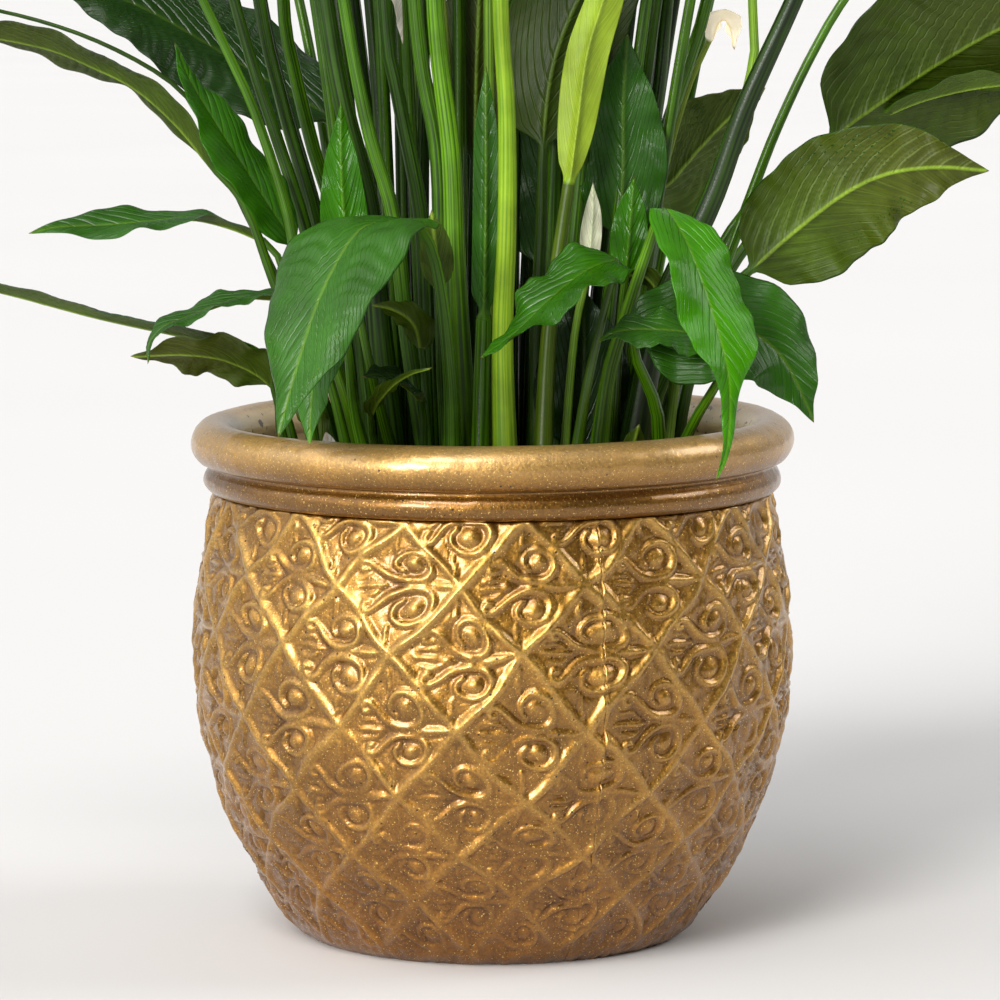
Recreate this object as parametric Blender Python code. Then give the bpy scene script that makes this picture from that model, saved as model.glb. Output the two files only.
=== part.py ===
"""A peace lily growing in a gold-painted clay pot, built as the real thing comes apart.

The pot is turned like a thrown pot, the compost fills it, a low crown of root stock sits on
the compost, and each leaf (stalk and blade together) and each flower is one closed solid.
Lengths in the tables are millimetres. The origin is the centre of the pot's flat base, +X is
to the right, +Y to the back and +Z up. A heading is a compass direction in degrees, counted
from +X towards +Y.
"""
import math

import bpy
import numpy as np

MM = 0.001

# Driving dimensions of the pot.
RIM_RADIUS = 150.0
ROLL_RADIUS = 11.5
POT_HEIGHT = 257.0
BASE_RADIUS = 95.0
BEAD_CENTRE = (138.5, 228.0)
BEAD_RADIUS = 6.2
WALL = 13.0
FLOOR = 14.0
FLOOR_RADIUS = 72.0
POT_SEGMENTS = 44

# The compost and the crown of root stock on it.
COMPOST_TOP = 221.0
COMPOST_RADIUS = 125.0
CROWN_HALF_X = 106.0
CROWN_HALF_Y = 90.0
CROWN_RISE = 9.0
CROWN_EDGE = 2.0
CROWN_SEGMENTS = 24
GAP = 0.6
STALK_LIFT = 1.6

# How finely the plant's solids are cut.
STALK_RINGS = 5
BLADE_RINGS = 8
ROUTE_STEPS = 10
BLADE_HALF_THICKNESS = 0.6

# Where the spadix stands from the foot of its spathe: along the stalk, and in front of it.
SPADIX_LIFT = 8.0
SPADIX_FORWARD = 9.0

# Colour, roughness and metallic value of each kind of surface.
SURFACES = {
    "gold_paint": ((0.45, 0.27, 0.08), 0.42, 0.75),
    "compost": ((0.045, 0.032, 0.022), 0.95, 0.0),
    "root_stock": ((0.16, 0.13, 0.06), 0.85, 0.0),
    "dark_leaf": ((0.025, 0.085, 0.018), 0.35, 0.0),
    "mid_leaf": ((0.04, 0.14, 0.02), 0.35, 0.0),
    "bright_leaf": ((0.09, 0.27, 0.02), 0.32, 0.0),
    "lime_leaf": ((0.33, 0.50, 0.08), 0.4, 0.0),
    "spathe": ((0.80, 0.80, 0.66), 0.5, 0.0),
    "faded_spathe": ((0.52, 0.46, 0.34), 0.6, 0.0),
    "spadix": ((0.72, 0.66, 0.36), 0.7, 0.0),
}


def arch(start, heading, lean, length, points=5):
    """Points of a blade that leaves `start` leaning lean[0] degrees off vertical and bends to lean[1]."""
    place = np.array(start, float)
    across = np.array([math.cos(math.radians(heading)), math.sin(math.radians(heading)), 0.0])
    route = [tuple(place)]
    for index in range(points):
        share = (index + 0.5) / points
        angle = math.radians(lean[0] + (lean[1] - lean[0]) * share)
        place = place + length / points * (math.sin(angle) * across + [0, 0, math.cos(angle)])
        route.append(tuple(place))
    return route


# Each leaf: crown = where the stalk leaves the root stock, stem = points up the stalk,
# blade = points along the midrib from the stalk's top to the tip, width of the blade,
# heading of the blade, roll = turn about its own midrib at the base and at the tip,
# fold = how far the two halves are lifted, stalk = radius at the foot and at the blade.
LEAVES = [
    # Low leaves that droop over the front of the rim.
    dict(name="leaf_front_left_drooping", surface="mid_leaf", crown=(-19, -70),
         stem=[(-20, -78, 281), (-26, -90, 336)],
         blade=[(-34, -102, 358), (-46, -116, 362), (-63, -135, 358), (-79, -155, 331),
                (-90, -165, 298), (-99, -170, 265)],
         width=72, heading=232, roll=(0, 0), fold=10, stalk=(4.5, 2.2)),
    dict(name="leaf_front_left_hanging", surface="mid_leaf", crown=(-56, -62),
         stem=[(-66, -76, 266)],
         blade=[(-70, -98, 308), (-76, -112, 317), (-82, -121, 300), (-85, -127, 281),
                (-86, -131, 257)],
         width=34, heading=240, roll=(0, 5), fold=15, stalk=(3.5, 1.8)),
    dict(name="leaf_front_right_bright", surface="bright_leaf", crown=(50, -56),
         stem=[(56, -58, 281), (64, -64, 311), (74, -68, 343)],
         blade=[(82, -76, 364), (90, -95, 356), (100, -110, 332), (109, -120, 302),
                (112, -124, 284), (111, -127, 258), (106, -128, 240)],
         width=44, heading=300, roll=(-10, 0), fold=14, stalk=(4.5, 2.2)),
    dict(name="leaf_front_centre_crinkled", surface="bright_leaf", crown=(38, -74),
         stem=[(46, -80, 281), (56, -88, 326)],
         blade=[(60, -94, 341), (46, -108, 339), (28, -118, 326), (10, -124, 309),
                (-6, -128, 298)],
         width=54, heading=205, roll=(-25, 5), fold=12, stalk=(3.2, 1.8)),
    dict(name="leaf_front_right_dark", surface="mid_leaf", crown=(80, -52),
         stem=[(80, -66, 266)],
         blade=[(68, -82, 302), (92, -82, 308), (118, -82, 309), (139, -82, 295), (155, -82, 263)],
         width=68, heading=0, roll=(62, 55), fold=8, stalk=(3.8, 2.2)),
    dict(name="leaf_small_rim", surface="mid_leaf", crown=(67, -62),
         stem=[(67, -64, 233)],
         blade=[(67, -66, 239), (68, -70, 249), (71, -76, 262)],
         width=13, heading=280, roll=(0, 0), fold=15, stalk=(2.2, 1.4)),
    dict(name="leaf_small_glossy", surface="dark_leaf", crown=(-34, -74),
         stem=[(-33, -80, 258)],
         blade=[(-34, -84, 274), (-43, -90, 283), (-53, -96, 287), (-62, -100, 287)],
         width=36, heading=205, roll=(-15, -15), fold=12, stalk=(2.6, 1.6)),
    dict(name="leaf_small_pointed", surface="mid_leaf", crown=(-47, -73),
         stem=[(-55, -86, 248)],
         blade=[(-58, -94, 268), (-50, -112, 282), (-40, -122, 290), (-28, -128, 294)],
         width=15, heading=320, roll=(0, 0), fold=14, stalk=(2.2, 1.4)),
    dict(name="leaf_small_olive", surface="mid_leaf", crown=(-30, -63),
         stem=[(-32, -64, 270)],
         blade=[(-34, -67, 297), (-38, -74, 311), (-48, -80, 318), (-58, -84, 320)],
         width=20, heading=200, roll=(40, 40), fold=18, stalk=(2.6, 1.6)),
    # Leaves reaching out to the left.
    dict(name="leaf_left_arching", surface="mid_leaf", crown=(-74, -14),
         stem=[(-85, -16, 271), (-107, -20, 325), (-121, -22, 364)],
         blade=[(-135, -24, 381), (-152, -26, 403), (-173, -28, 422), (-194, -30, 433),
                (-220, -31, 443), (-261, -32, 449), (-305, -33, 445), (-340, -34, 431)],
         width=56, heading=180, roll=(20, 18), fold=10, stalk=(3.6, 2.0)),
    dict(name="leaf_left_far", surface="mid_leaf", crown=(-82, 24),
         stem=[(-98, 28, 300), (-126, 34, 361), (-142, 38, 393), (-158, 40, 420), (-200, 44, 444)],
         blade=[(-250, 48, 459), (-298, 50, 464), (-348, 52, 453), (-392, 54, 422)],
         width=60, heading=180, roll=(0, 0), fold=10, stalk=(3.0, 1.7)),
    dict(name="leaf_left_glossy", surface="bright_leaf", crown=(-60, -42),
         stem=[(-74, -48, 281), (-89, -50, 321)],
         blade=[(-96, -51, 345), (-115, -52, 376), (-133, -50, 404), (-147, -47, 427),
                (-154, -45, 445)],
         width=42, heading=180, roll=(-30, -30), fold=10, stalk=(3.6, 2.0)),
    dict(name="leaf_left_back", surface="dark_leaf", crown=(-52, 46),
         stem=[(-62, 55, 301), (-73, 61, 361)],
         blade=[(-82, 64, 401), (-105, 69, 417), (-143, 73, 440), (-175, 77, 458),
                (-205, 79, 470), (-236, 80, 476)],
         width=66, heading=180, roll=(-50, -50), fold=10, stalk=(4.2, 2.2)),
    dict(name="leaf_small_upright", surface="bright_leaf", crown=(-46, -30),
         stem=[(-58, -50, 281)],
         blade=[(-66, -56, 321), (-71, -58, 353), (-73, -58, 386), (-73, -57, 417)],
         width=24, heading=270, roll=(0, 0), fold=12, stalk=(3.0, 1.8)),
    dict(name="leaf_left_twisted", surface="mid_leaf", crown=(-88, 6),
         stem=[(-95, 7, 281), (-103, 8, 326)],
         blade=[(-114, 10, 345), (-144, 10, 356), (-169, 9, 355), (-192, 8, 353), (-217, 6, 352),
                (-231, 4, 349)],
         width=32, heading=180, roll=(20, -60), fold=12, stalk=(3.0, 1.7)),
    dict(name="leaf_left_low_curled", surface="mid_leaf", crown=(-66, -58),
         stem=[(-78, -68, 280)],
         blade=[(-90, -76, 317), (-112, -80, 324), (-129, -83, 321), (-145, -86, 315),
                (-157, -89, 310), (-164, -90, 302), (-165, -91, 292)],
         width=34, heading=190, roll=(0, -15), fold=12, stalk=(3.0, 1.6)),
    dict(name="leaf_left_low_long", surface="mid_leaf", crown=(-94, -10),
         stem=[(-104, -12, 266)],
         blade=[(-116, -16, 292), (-145, -18, 299), (-194, -24, 310), (-243, -28, 323),
                (-290, -32, 332), (-330, -34, 332)],
         width=42, heading=180, roll=(10, 10), fold=12, stalk=(3.0, 1.6)),
    dict(name="leaf_left_low_olive", surface="mid_leaf", crown=(-96, -26),
         stem=[(-104, -28, 252)],
         blade=[(-108, -31, 276), (-128, -36, 289), (-150, -42, 293), (-177, -45, 292)],
         width=48, heading=180, roll=(35, 30), fold=8, stalk=(3.0, 1.6)),
    dict(name="leaf_left_short", surface="mid_leaf", crown=(-78, -43),
         stem=[(-81, -44, 236)],
         blade=[(-84, -44, 248), (-90, -44, 268), (-97, -43, 288)],
         width=18, heading=240, roll=(0, 0), fold=12, stalk=(3.0, 1.8)),
    # Leaves in the middle of the clump.
    dict(name="leaf_centre_flat_sheath", surface="mid_leaf", crown=(-6, -66),
         stem=[(-5, -64, 281)],
         blade=[(-4, -63, 311), (-3, -62, 371), (-3, -61, 411), (-3, -60, 434)],
         width=13, heading=270, roll=(0, 0), fold=5, stalk=(4.4, 4.0)),
    dict(name="leaf_centre_unrolling", surface="lime_leaf", crown=(24, -66),
         stem=[(26, -62, 281), (29, -60, 319)],
         blade=[(37, -56, 376), (41, -54, 405), (46, -52, 439), (55, -50, 469), (63, -48, 501),
                (70, -46, 531)],
         width=24, heading=270, roll=(10, -20), fold=30, stalk=(4.6, 3.0)),
    dict(name="leaf_centre_underside", surface="dark_leaf", crown=(22, -24),
         stem=[(22, -21, 301), (24, -18, 351)],
         blade=[(25, -16, 392), (28, -14, 423), (34, -12, 446), (46, -10, 473), (62, -10, 506),
                (85, -10, 543)],
         width=60, heading=270, roll=(0, 0), fold=8, stalk=(4.4, 2.4)),
    dict(name="leaf_centre_upright", surface="mid_leaf", crown=(50, -22),
         stem=[(57, -25, 301)],
         blade=[(62, -27, 349), (64, -28, 381), (64, -28, 413), (66, -28, 449)],
         width=24, heading=270, roll=(0, 0), fold=10, stalk=(3.4, 2.0)),
    dict(name="leaf_centre_low_dark", surface="dark_leaf", crown=(40, -38),
         stem=[(41, -38, 235)],
         blade=[(42, -38, 245), (44, -38, 271), (45, -38, 299), (44, -36, 326)],
         width=28, heading=270, roll=(0, 0), fold=10, stalk=(3.0, 2.0)),
    # Leaves reaching out to the right.
    dict(name="leaf_right_underside", surface="mid_leaf", crown=(74, -8),
         stem=[(82, -12, 271), (104, -16, 310)],
         blade=[(127, -18, 332), (147, -18, 350), (173, -18, 370), (195, -17, 380),
                (220, -16, 383), (245, -15, 381)],
         width=70, heading=0, roll=(-84, -80), fold=6, stalk=(4.2, 2.2)),
    dict(name="leaf_right_upper", surface="mid_leaf", crown=(80, 26),
         stem=[(92, 30, 271), (118, 35, 326), (150, 39, 369)],
         blade=[(170, 42, 394), (200, 46, 416), (224, 49, 432), (256, 52, 450), (294, 56, 465),
                (333, 58, 473)],
         width=94, heading=5, roll=(-75, -65), fold=10, stalk=(4.2, 2.2)),
    dict(name="leaf_right_back_veined", surface="mid_leaf", crown=(50, 54),
         stem=[(60, 60, 291)],
         blade=[(79, 72, 357), (92, 76, 373), (106, 80, 389), (122, 82, 405), (140, 84, 419)],
         width=62, heading=10, roll=(-60, -60), fold=10, stalk=(4.0, 2.2)),
    # Tall leaves of the canopy, from the left round the front to the right.
    dict(name="leaf_canopy_left_thin", surface="mid_leaf", crown=(-84, -58),
         stem=[(-92, -64, 296), (-97, -68, 355), (-113, -70, 409), (-126, -72, 439),
               (-141, -74, 471)],
         blade=arch((-168, -82, 529), 205, (35, 100), 200),
         width=72, heading=205, roll=(0, 0), fold=10, stalk=(3.2, 2.0)),
    dict(name="leaf_canopy_left", surface="dark_leaf", crown=(-68, -28),
         stem=[(-80, -25, 301), (-92, -26, 355), (-106, -28, 400), (-116, -30, 431),
               (-127, -32, 471)],
         blade=arch((-155, -40, 581), 182, (25, 100), 220),
         width=84, heading=182, roll=(0, 0), fold=10, stalk=(4.2, 2.4)),
    dict(name="leaf_canopy_left_back", surface="dark_leaf", crown=(-66, -2),
         stem=[(-78, -8, 301), (-87, -9, 356), (-103, -11, 415), (-115, -13, 471)],
         blade=arch((-138, -10, 631), 160, (15, 95), 235),
         width=92, heading=160, roll=(0, 0), fold=10, stalk=(5.2, 2.6)),
    dict(name="leaf_canopy_back_left", surface="mid_leaf", crown=(-58, 14),
         stem=[(-72, 8, 301), (-80, 7, 361), (-89, 7, 391), (-100, 8, 438), (-104, 9, 471)],
         blade=arch((-114, 30, 671), 130, (12, 95), 215),
         width=84, heading=130, roll=(0, 0), fold=10, stalk=(4.2, 2.4)),
    dict(name="leaf_canopy_front_left_broad", surface="dark_leaf", crown=(-48, -14),
         stem=[(-55, -24, 301), (-60, -29, 362), (-73, -34, 416), (-82, -38, 471)],
         blade=arch((-106, -52, 651), 222, (18, 100), 240),
         width=98, heading=222, roll=(0, 0), fold=10, stalk=(6.4, 3.0)),
    dict(name="leaf_canopy_front_left", surface="mid_leaf", crown=(-30, -52),
         stem=[(-41, -56, 301), (-48, -58, 361), (-60, -60, 404), (-71, -62, 463)],
         blade=arch((-86, -74, 571), 242, (22, 100), 195),
         width=78, heading=242, roll=(0, 0), fold=10, stalk=(4.4, 2.4)),
    dict(name="leaf_canopy_left_top", surface="dark_leaf", crown=(-30, -6),
         stem=[(-32, -12, 301), (-35, -14, 359), (-46, -16, 418), (-53, -18, 471)],
         blade=arch((-66, -16, 731), 186, (10, 85), 225),
         width=90, heading=186, roll=(0, 0), fold=10, stalk=(4.6, 2.6)),
    dict(name="leaf_canopy_front_top", surface="mid_leaf", crown=(-20, -34),
         stem=[(-22, -35, 301), (-25, -36, 337), (-27, -38, 392), (-38, -41, 471)],
         blade=arch((-48, -56, 711), 256, (12, 90), 205),
         width=84, heading=256, roll=(0, 0), fold=10, stalk=(4.6, 2.6)),
    dict(name="leaf_canopy_front", surface="bright_leaf", crown=(-12, -50),
         stem=[(-15, -52, 281), (-18, -53, 337), (-20, -54, 392), (-28, -57, 471)],
         blade=arch((-30, -74, 631), 272, (20, 100), 205),
         width=86, heading=272, roll=(0, 0), fold=10, stalk=(6.0, 3.0)),
    dict(name="leaf_canopy_lime_stalk", surface="lime_leaf", crown=(7, -78),
         stem=[(5, -76, 301), (7, -75, 355), (7, -74, 411), (4, -74, 469)],
         blade=arch((6, -84, 571), 295, (25, 100), 200),
         width=84, heading=295, roll=(0, 0), fold=10, stalk=(5.6, 3.0)),
    dict(name="leaf_canopy_front_right", surface="dark_leaf", crown=(66, -38),
         stem=[(71, -42, 261), (82, -45, 314), (107, -48, 370), (123, -50, 415),
               (148, -53, 471)],
         blade=arch((190, -64, 571), 336, (30, 105), 225),
         width=94, heading=336, roll=(0, 0), fold=10, stalk=(7.4, 3.2)),
    dict(name="leaf_canopy_right", surface="mid_leaf", crown=(60, 8),
         stem=[(66, -2, 311), (79, -4, 379), (99, -5, 442), (107, -5, 471)],
         blade=arch((142, 0, 621), 2, (20, 105), 215),
         width=86, heading=2, roll=(0, 0), fold=10, stalk=(4.6, 2.4)),
    dict(name="leaf_canopy_right_low", surface="mid_leaf", crown=(90, 8),
         stem=[(97, 9, 271), (112, 10, 321), (130, 11, 371), (142, 12, 402), (159, 13, 438),
               (179, 14, 471)],
         blade=arch((226, 16, 531), 10, (45, 110), 195),
         width=76, heading=10, roll=(0, 0), fold=10, stalk=(3.4, 2.0)),
    dict(name="leaf_canopy_right_back", surface="dark_leaf", crown=(44, 22),
         stem=[(57, 20, 317), (74, 20, 377), (82, 21, 421), (87, 22, 471)],
         blade=arch((108, 44, 651), 32, (15, 98), 230),
         width=94, heading=32, roll=(0, 0), fold=10, stalk=(5.8, 2.8)),
    # Leaves at the back of the canopy.
    dict(name="leaf_back_left", surface="mid_leaf", crown=(-62, 60),
         stem=[(-86, 94, 391), (-104, 110, 481)],
         blade=arch((-118, 122, 531), 145, (35, 105), 195),
         width=76, heading=145, roll=(0, 0), fold=10, stalk=(3.8, 2.2)),
    dict(name="leaf_back_centre_left", surface="mid_leaf", crown=(-30, 62),
         stem=[(-40, 86, 401), (-46, 106, 481)],
         blade=arch((-52, 122, 551), 112, (32, 100), 195),
         width=78, heading=112, roll=(0, 0), fold=10, stalk=(4.2, 2.2)),
    dict(name="leaf_back_centre", surface="dark_leaf", crown=(6, 70),
         stem=[(12, 92, 381), (18, 110, 461)],
         blade=arch((22, 122, 511), 84, (35, 110), 200),
         width=80, heading=84, roll=(0, 0), fold=10, stalk=(4.2, 2.2)),
    dict(name="leaf_back_centre_right", surface="mid_leaf", crown=(36, 74),
         stem=[(54, 100, 401), (66, 118, 481)],
         blade=arch((76, 132, 551), 58, (30, 100), 190),
         width=78, heading=58, roll=(0, 0), fold=10, stalk=(4.2, 2.2)),
    dict(name="leaf_back_right", surface="mid_leaf", crown=(66, 60),
         stem=[(92, 106, 360), (112, 124, 460)],
         blade=arch((130, 134, 525), 36, (38, 108), 190),
         width=76, heading=36, roll=(0, 0), fold=10, stalk=(3.8, 2.2)),
    # Leaves at the top of the canopy.
    dict(name="leaf_top_right", surface="mid_leaf", crown=(26, 2),
         stem=[(30, 4, 361), (36, 6, 471)],
         blade=arch((52, 0, 701), 330, (10, 85), 210),
         width=84, heading=330, roll=(0, 0), fold=10, stalk=(4.6, 2.6)),
    dict(name="leaf_top_back", surface="dark_leaf", crown=(2, 26),
         stem=[(4, 36, 361), (6, 44, 471)],
         blade=arch((10, 66, 721), 75, (8, 85), 215),
         width=86, heading=75, roll=(0, 0), fold=10, stalk=(4.6, 2.6)),
]

# Each flower: a stalk that carries a hooded spathe, written as a leaf is, and how long a
# spadix stands in front of the spathe (0 where the spathe has dried up or not opened yet).
FLOWERS = [
    dict(name="flower_tall_front", surface="spathe", crown=(0, -16),
         stem=[(-2, -20, 481), (-4, -26, 721)],
         blade=arch((-5, -30, 781), 260, (5, 40), 105),
         width=62, heading=260, roll=(0, 0), fold=22, stalk=(3.0, 2.0), spadix=46),
    dict(name="flower_tall_right", surface="spathe", crown=(84, -24),
         stem=[(96, -22, 321), (113, -22, 381), (127, -22, 431), (127, -22, 471)],
         blade=arch((118, -28, 681), 325, (5, 35), 95),
         width=56, heading=325, roll=(0, 0), fold=22, stalk=(2.8, 1.8), spadix=42),
    dict(name="flower_tall_back", surface="spathe", crown=(-34, 34),
         stem=[(-38, 48, 481), (-40, 66, 701)],
         blade=arch((-40, 72, 761), 130, (8, 40), 100),
         width=58, heading=130, roll=(0, 0), fold=22, stalk=(2.8, 1.8), spadix=42),
    dict(name="flower_bud_low", surface="spathe", crown=(34, -52),
         stem=[(40, -46, 301)],
         blade=[(47, -43, 335), (48, -43, 349), (49, -43, 363), (49, -43, 377)],
         width=13, heading=270, roll=(0, 0), fold=35, stalk=(2.2, 1.8), spadix=0),
    dict(name="flower_faded_right", surface="faded_spathe", crown=(30, 42),
         stem=[(66, 48, 321), (84, 50, 369), (93, 50, 401), (100, 50, 423)],
         blade=[(109, 50, 443), (113, 50, 453), (118, 50, 455), (121, 49, 449), (122, 48, 439)],
         width=20, heading=0, roll=(-20, -20), fold=15, stalk=(2.2, 1.5), spadix=0),
    dict(name="flower_faded_left", surface="faded_spathe", crown=(-14, 12),
         stem=[(-20, 6, 381), (-26, 4, 481), (-34, 4, 507)],
         blade=[(-42, 4, 501), (-46, 3, 481), (-45, 2, 461), (-44, 1, 441)],
         width=14, heading=200, roll=(20, 60), fold=30, stalk=(2.2, 1.6), spadix=0),
]


def clear_scene():
    """Remove every object, so that the script can be run again."""
    for item in list(bpy.data.objects):
        bpy.data.objects.remove(item, do_unlink=True)


def make_material(surface):
    """One Principled material for each kind of surface."""
    existing = bpy.data.materials.get(surface)
    if existing:
        return existing
    colour, roughness, metallic = SURFACES[surface]
    material = bpy.data.materials.new(surface)
    material.use_nodes = True
    shader = material.node_tree.nodes["Principled BSDF"]
    shader.inputs["Base Color"].default_value = (*colour, 1.0)
    shader.inputs["Roughness"].default_value = roughness
    shader.inputs["Metallic"].default_value = metallic
    material.diffuse_color = (*colour, 1.0)
    return material


def add_object(name, points, faces, surface, smooth=True):
    """Link a mesh made of points in mm and of faces, in its own material."""
    mesh = bpy.data.meshes.new(name)
    mesh.from_pydata([tuple(MM * value for value in point) for point in points], [], faces)
    mesh.materials.append(make_material(surface))
    if smooth:
        mesh.shade_smooth()
        mesh.set_sharp_from_angle(angle=math.radians(40))
    thing = bpy.data.objects.new(name, mesh)
    bpy.context.scene.collection.objects.link(thing)
    return thing


def turned(name, profile, segments, surface):
    """Turn a closed profile of (radius, height) points about Z. The first and last lie on the axis."""
    points = [(0.0, 0.0, profile[0][1])]
    inner = profile[1:-1]
    for radius, height in inner:
        for step in range(segments):
            angle = 2 * math.pi * step / segments
            points.append((radius * math.cos(angle), radius * math.sin(angle), height))
    points.append((0.0, 0.0, profile[-1][1]))
    last = len(points) - 1
    faces = []
    for step in range(segments):
        after = (step + 1) % segments
        faces.append((0, 1 + after, 1 + step))
        for row in range(len(inner) - 1):
            low = 1 + row * segments
            high = low + segments
            faces.append((low + step, low + after, high + after, high + step))
        top = 1 + (len(inner) - 1) * segments
        faces.append((top + step, top + after, last))
    return add_object(name, points, faces, surface)


def arc(centre, radius, start, end, steps):
    """Points on a circular arc in the (radius, height) plane, from one angle to another."""
    points = []
    for step in range(steps + 1):
        angle = math.radians(start + (end - start) * step / steps)
        points.append((centre[0] + radius * math.cos(angle), centre[1] + radius * math.sin(angle)))
    return points


# The belly from the foot to the neck, as (radius, height).
BELLY = [(BASE_RADIUS, 0.0), (101.0, 4.5), (107.5, 14.0), (114.7, 25.0), (123.3, 40.5), (130.8, 56.0),
         (136.3, 71.0), (144.8, 101.5), (148.2, 130.0), (148.4, 145.0), (146.0, 177.5),
         (141.5, 203.0), (139.0, 217.5)]


# Heights at which the inside of the wall is drawn, from the neck down.
INSIDE_HEIGHTS = (210.0, 178.0, 145.0, 105.0, 71.0, 42.0, 24.0)


def wall_radius(height):
    """Outer radius of the belly at a height, read between the belly's points."""
    return float(np.interp(height, [point[1] for point in BELLY], [point[0] for point in BELLY]))


def build_pot():
    """The clay pot: foot, belly, neck, a bead, a rolled rim, and the hollow inside."""
    roll_centre = (RIM_RADIUS - ROLL_RADIUS, POT_HEIGHT - ROLL_RADIUS)
    outside = BELLY + arc(BEAD_CENTRE, BEAD_RADIUS, -60, 55, 4)
    roll = arc(roll_centre, ROLL_RADIUS, -50, 210, 12)
    inside = [(wall_radius(height) - WALL, height) for height in INSIDE_HEIGHTS]
    profile = [(0.0, 0.0)] + outside + roll + inside + [(FLOOR_RADIUS, FLOOR), (0.0, FLOOR)]
    return turned("pot", profile, POT_SEGMENTS, "gold_paint")


def build_compost():
    """The compost, a filling that keeps a small gap from the pot all round."""
    side = [(wall_radius(height) - WALL - 2 * GAP, height) for height in reversed(INSIDE_HEIGHTS[1:])]
    profile = [(0.0, FLOOR + GAP), (FLOOR_RADIUS - 2 * GAP, FLOOR + GAP)] + side
    profile += [(COMPOST_RADIUS, COMPOST_TOP - 8.0), (COMPOST_RADIUS, COMPOST_TOP - 2.0),
                (COMPOST_RADIUS - 3.0, COMPOST_TOP), (0.0, COMPOST_TOP)]
    return turned("compost", profile, POT_SEGMENTS, "compost")


def crown_height(x, y):
    """Height of the crown's domed top above the pot's base, at a place on it."""
    outward = (x / CROWN_HALF_X) ** 2 + (y / CROWN_HALF_Y) ** 2
    return COMPOST_TOP + GAP + CROWN_EDGE + CROWN_RISE * max(0.0, 1.0 - outward)


def build_crown():
    """The crown of root stock: a low oval dome from which every stalk grows."""
    profile = [(0.0, 0.0), (1.0, 0.0), (1.0, 0.2), (0.8, 0.5), (0.5, 0.8), (0.0, 1.0)]
    dome = turned("crown", profile, CROWN_SEGMENTS, "root_stock")
    for vertex in dome.data.vertices:
        x = vertex.co.x / MM * CROWN_HALF_X
        y = vertex.co.y / MM * CROWN_HALF_Y
        foot = COMPOST_TOP + GAP
        height = foot if vertex.co.z < 0.1 * MM else crown_height(x, y)
        vertex.co = (MM * x, MM * y, MM * height)
    dome.data.update()
    return dome


def smooth_route(points, per_span=ROUTE_STEPS):
    """A Catmull-Rom curve through the points, with `per_span` steps between each two."""
    points = np.array(points, float)
    ends = np.vstack([2 * points[0] - points[1], points, 2 * points[-1] - points[-2]])
    share = np.linspace(0, 1, per_span, endpoint=False)[:, None]
    curve = []
    for index in range(len(points) - 1):
        before, start, end, after = ends[index:index + 4]
        curve.append(0.5 * (2 * start + (end - before) * share
                            + (2 * before - 5 * start + 4 * end - after) * share ** 2
                            + (3 * start - before - 3 * end + after) * share ** 3))
    return np.vstack(curve + [points[-1:]])


def blade_outline(share):
    """Half-width of a blade as a share of its widest, from its base (0) to its tip (1)."""
    peak = 0.36
    power = 0.95
    return (share / peak) ** (peak * power / (1 - peak)) * ((1 - share) / (1 - peak)) ** power


def leaf_rings(leaf):
    """Centre, direction, side, upper direction, and place along the leaf of each cross-section."""
    foot_x, foot_y = leaf["crown"]
    foot = (foot_x, foot_y, crown_height(foot_x, foot_y) + STALK_LIFT)
    route = [foot] + list(leaf["stem"]) + list(leaf["blade"])
    curve = smooth_route(route)
    length = np.concatenate([[0], np.cumsum(np.linalg.norm(np.diff(curve, axis=0), axis=1))])
    blade_start = length[(1 + len(leaf["stem"])) * ROUTE_STEPS]
    stops = np.concatenate([np.linspace(0, blade_start, STALK_RINGS)[:-1],
                            np.linspace(blade_start, length[-1], BLADE_RINGS + 1)])
    centre = np.stack([np.interp(stops, length, curve[:, axis]) for axis in range(3)], axis=1)
    slope = np.gradient(curve, length, axis=0)
    ahead = np.stack([np.interp(stops, length, slope[:, axis]) for axis in range(3)], axis=1)
    ahead /= np.linalg.norm(ahead, axis=1)[:, None]
    heading = math.radians(leaf["heading"])
    side = np.array([-math.sin(heading), math.cos(heading), 0.0])
    side = side - ahead * (ahead @ side)[:, None]
    side /= np.linalg.norm(side, axis=1)[:, None]
    upper = np.cross(ahead, side)
    share = np.clip((stops - blade_start) / (length[-1] - blade_start), 0, 1)
    roll = np.radians(leaf["roll"][0] + (leaf["roll"][1] - leaf["roll"][0]) * share)[:, None]
    turned_side = side * np.cos(roll) + upper * np.sin(roll)
    turned_upper = upper * np.cos(roll) - side * np.sin(roll)
    return centre, turned_side, turned_upper, stops / blade_start, share


def stalk_ring(centre, side, upper, radius):
    """Eight points round a stalk."""
    angles = [math.pi / 4 * step for step in range(8)]
    return [centre + radius * (math.cos(angle) * side + math.sin(angle) * upper)
            for angle in angles]


def blade_ring(centre, side, upper, half_width, fold, keel):
    """Eight points round a thin blade whose halves are lifted by the fold."""
    across = half_width * math.cos(fold)
    lift = half_width * math.sin(fold)
    skin = BLADE_HALF_THICKNESS
    layout = [(1, 0), (0.5, skin), (0, skin), (-0.5, skin), (-1, 0), (-0.5, -skin), (0, -keel),
              (0.5, -skin)]
    return [centre + side * across * place + upper * (abs(place) * lift + offset)
            for place, offset in layout]


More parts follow.
